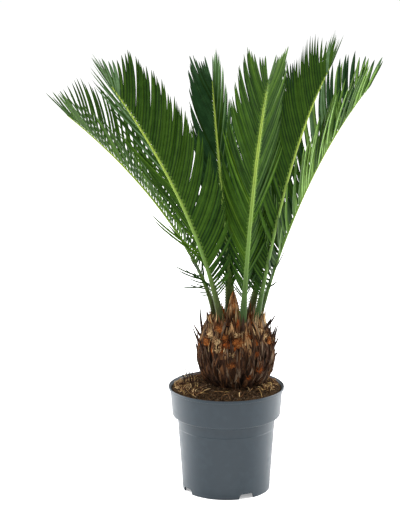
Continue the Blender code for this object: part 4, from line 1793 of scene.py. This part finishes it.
@dataclass(frozen=True)
class Frond:
    """One frond: where its stalk stands, how its rib arches and what its rows are like.

    Args:
        name: The node that it stands for.
        azimuth: Direction that it leans to.
        foot_radius: Distance of its foot from the trunk's axis.
        lean_foot: Lean from the vertical at the foot.
        lean_tip: Lean at the tip.
        bend: Power that the lean grows with.
        sweep: Turn of its direction on the way to the tip.
        length: Length of the rib.
        rows: Its row on side 1, then the one on side -1.
        roll: Turn of its broad side about the rib, at the tip.
        spread: Factor on the angle of the leaflets.
        fullness: Factor on their length.
        group: Fewest and most neighbours that lie together, with slits between the groups.
        stray: Greatest turn of a group of leaflets in the plane of its row.
        huddle: Turn of each leaflet towards the middle of its group, for each step from there.
        waist: Width of a leaflet at its root, as a share of its full width.
        taper: Power that a leaflet's width falls off with; the lower, the finer its tip.
        girth: Factors on the rib's width at its foot and at its tip.
        shaded: Whether the stalk's foot is brown.
    """

    name: str
    azimuth: float
    foot_radius: float
    lean_foot: float
    lean_tip: float
    bend: float
    sweep: float
    length: float
    rows: tuple[Row, Row]
    roll: float = 0.0
    spread: float = 1.0
    fullness: float = 1.0
    group: tuple[int, int] = (2, 6)
    stray: float = 1.4
    huddle: float = 0.5
    waist: float = 0.95
    taper: float = 6.0
    girth: Range = (1.0, 1.0)
    shaded: bool = False

    PAIRS = 56
    CROWDING = 1.12
    FIRST = 0.1
    LAST = 0.985
    STAGGER = 0.17
    THORNS = 7
    FIRST_THORN = 0.03
    THICKNESS = 1.0 * MM
    CURL = ((0.1, 0.15), (0.3, 0.35))
    ROOT_OFFSET = 0.1
    DEPTH_SHARE = 0.8
    SEGMENTS = 12
    FINE_SEGMENTS = 72
    SIDES = 12
    SPACE = 0.1 * MM
    REACHES = (1.0, 0.82, 0.64)
    LIFTS = (0, 8, -8, 16, -16, 24, -24)
    FURROW = 0.35
    FURROW_EDGE = 0.55
    REACH_SPREAD = (0.94, 1.02)
    LOUVER_STRAY = 5
    HALF_WIDTH = (
        (0, 6.8), (0.05, 5.9), (0.12, 4.4), (0.2, 3.2), (0.35, 2.5), (0.5, 2.0), (0.8, 1.4), (1, 0.8)
    )
    LEAFLET_LENGTH = (
        (0, 10),
        (0.11, 28),
        (0.2, 70),
        (0.34, 110),
        (0.45, 118),
        (0.7, 110),
        (0.88, 92),
        (0.94, 60),
        (0.97, 50),
        (1, 52),
    )
    LEAFLET_ANGLE = ((0, 64), (0.14, 55), (0.25, 48), (0.4, 42), (0.7, 38), (0.92, 36), (0.97, 24), (1, 11))
    LEAFLET_WIDTH = (
        (0, 1.8), (0.11, 2.8), (0.16, 4.4), (0.22, 5.4), (0.3, 5.8), (0.7, 6.0), (0.9, 5.8), (1, 4.8)
    )
    UNREST = ((0.1, 9), (0.22, 4), (0.32, 1), (1, 1))
    THORN_LENGTH = ((0, 1.5), (0.03, 2.5), (0.08, 6), (0.12, 14))
    THORN_AHEAD = 0.6
    THORN_UP = 0.3
    THORN_HOOK = 0.15
    THORN_ROOT = 0.8
    THORN_WIDTH = 1.3 * MM
    THORN_DEPTH = 0.9 * MM

    def row(self, side: int) -> Row:
        """Return the row on side 1 or -1."""
        return self.rows[0] if side > 0 else self.rows[1]

    def half_width(self, share: float) -> float:
        """Return half the rib's width at a share of its length."""
        foot, tip = self.girth
        return blend(self.HALF_WIDTH, share) * MM * (foot + (tip - foot) * share)

    def frames(self, trunk: Trunk, count: int) -> list[Frame]:
        """Return evenly spaced frames along the rib.

        Args:
            trunk: The trunk that the stalk stands on.
            count: Steps between the frames.

        Returns:
            One frame more than there are steps.
        """
        place = trunk.at(self.foot_radius, self.azimuth, trunk.top + CLEARANCE)
        frames: list[Frame] = []
        for index in range(count + 1):
            share = index / count
            lean = self.lean_foot + (self.lean_tip - self.lean_foot) * share**self.bend
            azimuth = self.azimuth + self.sweep * share
            along = rising(azimuth, 90 - lean)
            across = polar(1, azimuth + 90, 0)
            upper = along.cross(across)
            turn = Matrix.Rotation(math.radians(self.roll) * share, 3, along)
            if frames:
                place = place + (frames[-1].along + along) * self.length / count / 2
            frames.append(Frame(place, along, turn @ across, turn @ upper))
        return frames

    @staticmethod
    def frame_at(frames: Sequence[Frame], share: float) -> Frame:
        """Return the frame at a share of the rib's length."""
        scaled = share * (len(frames) - 1)
        index = min(int(scaled), len(frames) - 2)
        return frames[index].mixed(frames[index + 1], scaled - index)

    def stands(self) -> list[Stand]:
        """Space the leaflets along the rib, in groups that lie together with slits between."""
        chance = random.Random(self.name + "_stands")
        turns = {side: self.draw_turns(chance) for side in (-1, 1)}
        stands = []
        for index, side in product(range(self.PAIRS), (-1, 1)):
            station = max(index + self.STAGGER * side, 0) / (self.PAIRS - 1)
            share = self.FIRST + (self.LAST - self.FIRST) * station**self.CROWDING
            in_plane, out_of_plane = (angle * blend(self.UNREST, share) for angle in self.row(side).tangle)
            stands.append(
                Stand(
                    share=share, side=side, turn=turns[side][index] + swing(chance, in_plane),
                    lift=swing(chance, out_of_plane), reach=chance.uniform(*self.REACH_SPREAD),
                )
            )
        return stands

    def draw_turns(self, chance: random.Random) -> list[float]:
        """Draw the turn of every leaflet of a row, with the tips of each group drawn together."""
        turns: list[float] = []
        while len(turns) < self.PAIRS:
            count = chance.randint(*self.group)
            shared = swing(chance, self.stray)
            turns += [shared + self.huddle * (index - (count - 1) / 2) for index in range(count)]
        return turns

    def leaflet(self, frames: Sequence[Frame], stand: Stand) -> Leaflet:
        """Work out one leaflet by the rule that the whole frond follows."""
        share, side = stand.share, stand.side
        here = self.frame_at(frames, share)
        row = self.row(side)
        angle = math.radians(blend(self.LEAFLET_ANGLE, share) * self.spread + stand.turn)
        rise = math.radians(row.rise_at(share) + stand.lift)
        outward = here.across * side * math.cos(rise) + here.upper * math.sin(rise)
        length = blend(self.LEAFLET_LENGTH, share) * MM * stand.reach * self.fullness
        root = here.place + here.across * side * self.half_width(share) * self.ROOT_OFFSET
        curl = blend(self.CURL, max(share, self.CURL[0][0]))

        def heading(station: float) -> Vector:
            """Direction from the root to a station of the leaflet."""
            return (here.along * (math.cos(angle) + curl * station) + outward * math.sin(angle)).normalized()

        middle = heading(0.5)
        edge = (here.along - middle * here.along.dot(middle)).normalized()
        tip = root + heading(1) * length
        halfway = root + heading(0.5) * length / 2
        return Leaflet(
            root=root, bend=halfway * 2 - (root + tip) / 2, tip=tip, edge=edge,
            keel=middle.cross(edge).normalized() * side,
            width=blend(self.LEAFLET_WIDTH, share) * MM * row.breadth,
        )

    def rib_rings(self, frames: Sequence[Frame], sides: int, space: float) -> list[list[Vector]]:
        """Return rings of points round the rib, with some space round it."""
        rings = []
        for index in range(self.SEGMENTS + 1):
            here = self.frame_at(frames, index / self.SEGMENTS)
            half_width = self.half_width(index / self.SEGMENTS) + space
            ring = []
            for side in range(sides):
                angle = math.tau * side / sides
                offset = here.across * math.cos(angle) + here.upper * self.DEPTH_SHARE * math.sin(angle)
                ring.append(here.place + offset * half_width)
            rings.append(ring)
        return rings

    def build_rib(self, trunk: Trunk, finish: bpy.types.Material) -> None:
        """Make the rib by a tree that lofts a tube through its frames, and hand it over."""
        bed = SeedBed()
        for index, here in enumerate(self.frames(trunk, self.FINE_SEGMENTS)):
            half_width = self.half_width(index / self.FINE_SEGMENTS)
            upper = here.upper
            if index == 0:
                upper = Vector((upper.x, upper.y, 0)).normalized()
            bed.add(here.place, across=here.across * half_width, upper=upper * half_width * self.DEPTH_SHARE)
        sizes: dict[str, Size] = {
            "Segments": self.FINE_SEGMENTS, "Sides": self.SIDES, "Furrow": self.FURROW, "Stalk": finish
        }
        tree = ShapeTree("rib_" + self.name, sizes)
        ring = tree.place()
        tube = tree.stored(tree.tube("Sides", "Segments"), "reach", ring.part(2) + 0.5, "FLOAT")
        station = tree.math("ROUND", tree.attribute("reach") * tree.size("Segments"))

        def sampled(value: Signal) -> Signal:
            """Value of the rib's frame at each ring of the tube."""
            fed = {"Geometry": tree.start(), "Value": value, "Index": station}
            return tree.signal("GeometryNodeSampleIndex", fed, data_type="FLOAT_VECTOR")

        furrow = tree.math("MAXIMUM", ring.part(1) - self.FURROW_EDGE, 0.0) * tree.size("Furrow") * 2.0
        across = sampled(tree.vector("across")) * ring.part(0)
        upward = sampled(tree.vector("upper")) * (ring.part(1) - furrow)
        inputs = {"Geometry": tube, "Position": sampled(tree.place()) + (across + upward)}
        tree.finish(tree.signal("GeometryNodeSetPosition", inputs), [(True, "Stalk")])
        made = bed.to_object("rib_" + self.name)
        tree.grow(made, kept=("reach",))
        shade(made, 60)
        hand_over(made, Slot.GREEN, self.name)

    def build_leaflets(self, frames: Sequence[Frame], stands: Sequence[Stand], palette: Palette) -> None:
        """Grow the two rows of leaflets and the thorns below them, and hand them over.

        Args:
            frames: Frames along the rib.
            stands: Where the leaflets stand.
            palette: The finishes.
        """
        chance = random.Random(self.name)
        bed = SeedBed()
        for stand in stands:
            leaflet = self.leaflet(frames, stand)
            middle = (leaflet.tip - leaflet.root).normalized()
            row = self.row(stand.side)
            turn = math.radians((row.louver + swing(chance, self.LOUVER_STRAY)) * stand.side)
            # The tint can be a painted highlight or painted shade green; the rim green is painted shade, the
            # dark line between neighbouring leaflets.
            tint = chance.choice(row.greens_at(stand.share))
            bed.add(
                leaflet.root, bend=leaflet.bend, tip=leaflet.tip,
                edge=Matrix.Rotation(turn, 3, middle) @ leaflet.edge * -stand.side, width=leaflet.width,
                depth=self.THICKNESS, tint=tint, rim=chance.choice(SHADED_EDGE_OF[tint]),
            )
        self.seed_thorns(bed, frames, chance)
        strip = Strip(
            stations=9, sides=6, root_width=self.waist, shoulder=0.12, taper=self.taper, crown=0.2,
            collar=0.03,
        )
        made = strip.grow("leaflets_" + self.name, bed, palette.greens)
        hand_over(made, Slot.GREEN, self.name)

    def seed_thorns(self, bed: SeedBed, frames: Sequence[Frame], chance: random.Random) -> None:
        """Add the short thorn-like leaflets along the stalk, below the lowest true ones."""
        stretch = self.FIRST - self.FIRST_THORN
        for index, side in product(range(self.THORNS), (-1, 1)):
            share = self.FIRST_THORN + (index + self.STAGGER * side) * stretch / self.THORNS
            here = self.frame_at(frames, share)
            heading = here.across * side + here.along * self.THORN_AHEAD + here.upper * self.THORN_UP
            direction = heading.normalized()
            length = blend(self.THORN_LENGTH, share) * MM * chance.uniform(0.8, 1.1)
            root = here.place + here.across * side * self.half_width(share) * self.THORN_ROOT
            bed.add(
                root, bend=root + direction * length / 2,
                tip=root + direction * length + here.along * length * self.THORN_HOOK, edge=here.along,
                width=self.THORN_WIDTH, depth=self.THORN_DEPTH, tint=Green.OLIVE, rim=Green.OLIVE,
            )


# Painted shade: darker greens for the lowest leaflets, which lie deep in the crown.
LOW_SHADE_MIX = (Green.SHADE, Green.DEEP, Green.DEEP, Green.LUSH)
LIGHT_MIX = (Green.LUSH, Green.LUSH, Green.LUSH, Green.BRIGHT)
BRIGHT_MIX = (Green.LUSH, Green.LUSH, Green.BRIGHT)
GREEN_MIX = (Green.DEEP, Green.LUSH, Green.LUSH, Green.LUSH, Green.BRIGHT)
DEEP_MIX = (Green.DEEP, Green.LUSH, Green.LUSH)
# Painted shade, for the rear fronds.
BACK_SHADE_MIX = (Green.BACK, Green.BACK, Green.SHADE)
# Mostly painted highlight, for the lit tips of a frond.
LIGHT_HIGHLIGHT_MIX = (Green.FRESH, Green.FRESH, Green.FRESH, Green.LUSH)
# Mostly painted highlight: bluish greens where the leaflets catch the light, with some plain greens.
BLUISH_HIGHLIGHT_MIX = (Green.BLUISH, Green.BLUISH, Green.LUSH, Green.DEEP)
# Painted shade: each leaflet's long edges take a darker green, for the shadow lines between neighbouring
# leaflets.
SHADED_EDGE_OF = {
    Green.DEEP: (Green.SHADE,),
    Green.LUSH: (Green.SHADE, Green.SHADE, Green.DEEP),
    Green.BRIGHT: (Green.DEEP, Green.LUSH),
    Green.FRESH: (Green.BRIGHT, Green.LUSH),
    Green.SHADE: (Green.SHADE,),
    Green.BLUISH: (Green.DEEP, Green.BLUISH, Green.BLUISH),
    Green.BACK: (Green.SHADE,),
}

FRONDS = (
    Frond(
        "frond_front", azimuth=286, foot_radius=33 * MM, lean_foot=12, lean_tip=40, bend=1.6, sweep=-7,
        length=425 * MM, rows=(Row(BRIGHT_MIX, louver=-5, breadth=1.1), Row(LIGHT_MIX, louver=2)),
        spread=0.88, fullness=1.05, group=(3, 6), huddle=0.7, girth=(0.88, 1.3),
    ),
    Frond(
        "frond_front_left", azimuth=226, foot_radius=31 * MM, lean_foot=11.5, lean_tip=39.5, bend=0.6,
        sweep=-5, length=430 * MM,
        rows=(
            Row(DEEP_MIX, tips=(Green.BLUISH,), outer=0.94, rise=((0, 35), (1, 35)), louver=9),
            Row(
                GREEN_MIX, tips=BLUISH_HIGHLIGHT_MIX, outer=0.6, rise=((0, 2), (0.82, 33), (0.95, 70), (1, 72)),
                louver=-36, breadth=0.54, tangle=(5.0, 9.0),
            ),
        ),
        roll=30, fullness=1.08, stray=1.0, huddle=0.45, girth=(0.98, 1.1), shaded=True,
    ),
    Frond(
        "frond_front_right", azimuth=330, foot_radius=33 * MM, lean_foot=12, lean_tip=29, bend=2.2,
        sweep=-4, length=410 * MM,
        rows=(
            Row(DEEP_MIX, tips=(Green.BLUISH, Green.LUSH), outer=0.96, breadth=0.78),
            Row(DEEP_MIX, tips=(Green.BLUISH, Green.LUSH), outer=0.96, louver=10, breadth=0.94),
        ),
        spread=0.9, fullness=1.06, huddle=0.2, waist=0.5, taper=2.6, girth=(0.95, 1.1),
    ),
    Frond(
        "frond_left", azimuth=171, foot_radius=30 * MM, lean_foot=6.5, lean_tip=52.5, bend=0.53, sweep=0,
        length=375 * MM,
        rows=(
            Row(
                GREEN_MIX, rise=((0.1, -5), (0.125, -30), (0.15, -20), (0.2, -6), (0.24, 38), (1, 38)),
                breadth=0.62, tangle=(1.5, 4.0),
            ),
            Row(
                DEEP_MIX, rise=((0.1, 20), (0.125, -30), (0.15, -26), (0.2, -10), (0.24, 55), (1, 55)),
                breadth=0.58, tangle=(1.5, 4.0),
            ),
        ),
        spread=1.25, group=(1, 3), waist=0.35, taper=7.0, girth=(1.05, 1.0), shaded=True,
    ),
    Frond(
        "frond_right", azimuth=8, foot_radius=32.5 * MM, lean_foot=17, lean_tip=38.5, bend=1.6, sweep=0,
        length=381 * MM,
        rows=(
            Row(
                (Green.BACK, Green.DEEP), tips=(Green.FRESH, Green.BACK, Green.BLUISH), outer=0.6,
                rise=((0.1, -23), (0.22, 52), (1, 52)), breadth=0.95, tangle=(3.0, 6.0),
            ),
            Row(
                (*GREEN_MIX, Green.SHADE), tips=LIGHT_HIGHLIGHT_MIX, rise=((0, 38), (1, 38)), breadth=0.92,
                tangle=(3.0, 7.0),
            ),
        ),
        spread=1.3, group=(1, 3), waist=0.5, taper=7.0,
    ),
    Frond(
        "frond_back", azimuth=103, foot_radius=33 * MM, lean_foot=8, lean_tip=47, bend=0.6, sweep=-8,
        length=376 * MM,
        rows=(
            Row(BACK_SHADE_MIX, louver=4),
            Row(BACK_SHADE_MIX, tips=(Green.BACK, *BLUISH_HIGHLIGHT_MIX), rise=((0, 45), (1, 64)), louver=0, breadth=0.9),
        ),
        roll=-22, spread=0.84, huddle=0.3, waist=0.3, girth=(1.35, 1.8), shaded=True,
    ),
    Frond(
        "frond_back_right", azimuth=51, foot_radius=33 * MM, lean_foot=20, lean_tip=33, bend=1.0,
        sweep=22, length=350 * MM, rows=(Row(BACK_SHADE_MIX), Row(BACK_SHADE_MIX)), shaded=True,
    ),
)


@dataclass
class Crown:
    """All the fronds, with each leaflet kept clear of the other fronds."""

    trunk: Trunk
    palette: Palette
    fronds: Sequence[Frond] = FRONDS
    green_stalk: Stalk = Stalk(
        "stalk_green", foot=(0.026, 0.048, 0.015), middle=(0.100, 0.175, 0.040), pale=(0.225, 0.300, 0.046)
    )
    brown_stalk: Stalk = Stalk(
        "stalk_brown", foot=(0.026, 0.030, 0.010), middle=(0.095, 0.170, 0.036), pale=(0.230, 0.305, 0.046)
    )
    slivers: int = 9
    sliver_wrap: float = 105
    sliver_fan: float = 19
    sliver_girth: Range = (5.4, 7.0)
    sliver_root: Range = (222, 238)
    sliver_length: Range = (6, 22)
    sliver_width: Range = (3, 6)
    sliver_depth: float = 1.4 * MM

    def build(self) -> None:
        """Make every frond, and the dry bases that clasp the stalks."""
        green, brown = self.green_stalk.make(), self.brown_stalk.make()
        frames = {frond.name: frond.frames(self.trunk, Frond.SEGMENTS) for frond in self.fronds}
        stands = self.place_leaflets(frames)
        for frond in self.fronds:
            frond.build_rib(self.trunk, brown if frond.shaded else green)
            frond.build_leaflets(frames[frond.name], stands[frond.name], self.palette)
        self.build_boots()

    def place_leaflets(self, frames: dict[str, list[Frame]]) -> dict[str, list[Stand]]:
        """Let each leaflet dodge or end short, so that it cuts no part of another frond.

        Args:
            frames: Frames along each frond's rib.

        Returns:
            Where each frond's leaflets stand.
        """
        taken = [
            (frond.name, Solid(frond.rib_rings(frames[frond.name], 6, Frond.SPACE))) for frond in self.fronds
        ]
        placed: dict[str, list[Stand]] = {frond.name: [] for frond in self.fronds}
        drawn = [frond.stands() for frond in self.fronds]
        for frond, wish in ((frond, wish) for row in zip(*drawn) for frond, wish in zip(self.fronds, row)):
            others = [solid for name, solid in taken if name != frond.name]
            for shorter, dodge in product(Frond.REACHES, Frond.LIFTS):
                stand = replace(wish, reach=wish.reach * shorter, lift=wish.lift + dodge)
                solid = frond.leaflet(frames[frond.name], stand).solid(Frond.SPACE, Frond.THICKNESS)
                if not any(solid.touches(other) for other in others):
                    taken.append((frond.name, solid))
                    placed[frond.name].append(stand)
                    break
        return placed

    def build_boots(self) -> None:
        """Clasp the foot of every stalk in slivers of the dry base that it grows out of."""
        chance = random.Random(41)
        bed = SeedBed()
        trunk = self.trunk
        tones = (Tone.TAN, Tone.TAN, Tone.CREAM, Tone.UMBER, Tone.UMBER, Tone.GREY_BROWN)
        for frond, index in product(self.fronds, range(self.slivers)):
            share = 2 * index / (self.slivers - 1) - 1
            azimuth = frond.azimuth + share * self.sliver_wrap
            offset = polar(drawn(chance, self.sliver_girth), azimuth, 0)
            axis = trunk.at(frond.foot_radius, frond.azimuth, trunk.top)
            stalk = rising(frond.azimuth, 90 - frond.lean_foot)
            low = drawn(chance, self.sliver_root)
            tone = chance.choice(tones)
            bed.add(
                trunk.on_side(frond.azimuth + share * self.sliver_fan, low, 1 * MM),
                bend=axis + offset * 1.25 - Vector((0, 0, 1 * MM)),
                tip=axis + stalk * chance.uniform(*self.sliver_length) * MM + offset,
                edge=polar(1, azimuth + 90, 0), width=drawn(chance, self.sliver_width),
                depth=self.sliver_depth, tint=tone, rim=chance.choice((tone, Tone.CREAM, Tone.UMBER)),
            )
        strip = Strip(
            stations=9, sides=6, root_width=1.0, taper=1.6, tip_width=0.05, crown=0.35, ripple=1.5 * MM
        )
        hand_over(strip.grow("stalk_boots", bed, self.palette.tones), Slot.BARK, "trunk")


# Studio


@dataclass
class Studio:
    """Pale floor, soft lights from both sides and above, and the camera in front."""

    target_height: float = 156 * MM
    distance: float = 3.9
    pitch_to_rim: float = 16.2
    pitch: float = 13.54
    focal_pixels: float = 2761
    off_centre_pixels: float = 27.4
    sensor: float = 36
    white: Colour = (1.0, 1.0, 1.0)
    floor_radius: float = 14.0
    floor_colour: Colour = (0.85, 0.85, 0.85)
    floor_roughness: float = 0.9
    side_place: Corner = (1.75, 0.75, 0.7)
    side_size: Range = (1.4, 2.2)
    side_power: float = 134.0
    top_place: Corner = (-0.3, -0.6, 2.4)
    top_size: Range = (2.0, 2.0)
    top_power: float = 55.0
    aim_height: float = 0.3
    world_strength: float = 0.75
    floor_glow: float = 0.33
    view: str = "Standard"

    def build(self) -> None:
        """Set up the floor, the lights, the world and the camera."""
        self.build_floor()
        x, y, z = self.side_place
        self.build_light("light_left", Vector((-x, y, z)), self.side_size, self.side_power)
        self.build_light("light_right", Vector((x, y, z)), self.side_size, self.side_power)
        self.build_light("light_top", Vector(self.top_place), self.top_size, self.top_power)
        self.build_world()
        self.build_camera()

    def build_floor(self) -> None:
        """Lay a wide round floor, pale and matt."""
        shape = bmesh.new()
        bmesh.ops.create_circle(shape, cap_ends=True, segments=96, radius=self.floor_radius)
        floor = object_from_bmesh(shape, "studio_floor")
        coat = Coat("floor_white", self.floor_colour)
        coat.set("Base Color", (*self.floor_colour, 1.0))
        coat.set("Roughness", self.floor_roughness)
        coat.set("Emission Color", (*self.white, 1.0))
        coat.set("Emission Strength", self.floor_glow)
        floor.data.materials.append(coat.material)
        floor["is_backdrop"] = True

    def build_light(self, name: str, place: Vector, size: Range, power: float) -> None:
        """Hang a soft rectangular light that faces the plant.

        Args:
            name: The light's name.
            place: Its middle.
            size: Its width and height.
            power: Its power in watts.
        """
        light = bpy.data.lights.new(name, "AREA")
        light.shape = "RECTANGLE"
        light.size, light.size_y = size
        light.energy = power
        lamp = bpy.data.objects.new(name, light)
        lamp.location = place
        aim = Vector((0, 0, self.aim_height)) - place
        lamp.rotation_euler = aim.to_track_quat("-Z", "Y").to_euler()
        bpy.context.scene.collection.objects.link(lamp)

    def build_world(self) -> None:
        """Surround the scene with plain white light."""
        world = bpy.data.worlds.new("white_room")
        world.use_nodes = True
        background = world.node_tree.nodes["Background"]
        background.inputs["Color"].default_value = (*self.white, 1.0)
        background.inputs["Strength"].default_value = self.world_strength
        bpy.context.scene.world = world
        bpy.context.scene.view_settings.view_transform = self.view

    def build_camera(self) -> None:
        """Stand the camera at the photo's distance, height and angle."""
        lens = bpy.data.cameras.new("camera")
        lens.sensor_width = self.sensor
        lens.lens = self.focal_pixels * self.sensor / IMAGE_HEIGHT
        lens.clip_end = 4 * self.floor_radius
        camera = bpy.data.objects.new("camera", lens)
        height = self.target_height + self.distance * math.tan(math.radians(self.pitch_to_rim))
        camera.location = (0, -self.distance, height)
        below = math.radians(self.pitch_to_rim - self.pitch)
        turn = math.atan(self.off_centre_pixels / self.focal_pixels / math.cos(below))
        camera.rotation_euler = (math.radians(90 - self.pitch), 0, turn)
        bpy.context.scene.collection.objects.link(camera)
        bpy.context.scene.camera = camera


def write_sizes() -> None:
    """Work out the box of the solids and the box of the dressed plant."""
    for name, corners in (("cad", CAD_BOX), ("visual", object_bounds())):
        [list(corner) for corner in corners]


def main() -> None:
    """Build the plant and the studio, in order."""
    logging.basicConfig(level=logging.INFO, format="%(message)s")
    palette = Palette()
    trunk = Trunk(palette)
    pot = Pot()
    pot.build()
    Soil(pot, palette, trunk.x).build()
    trunk.build()
    Bud(palette, trunk.top + CLEARANCE).build()
    Crown(trunk, palette).build()
    Studio().build()
    write_sizes()


if __name__ == "__main__":
    main()
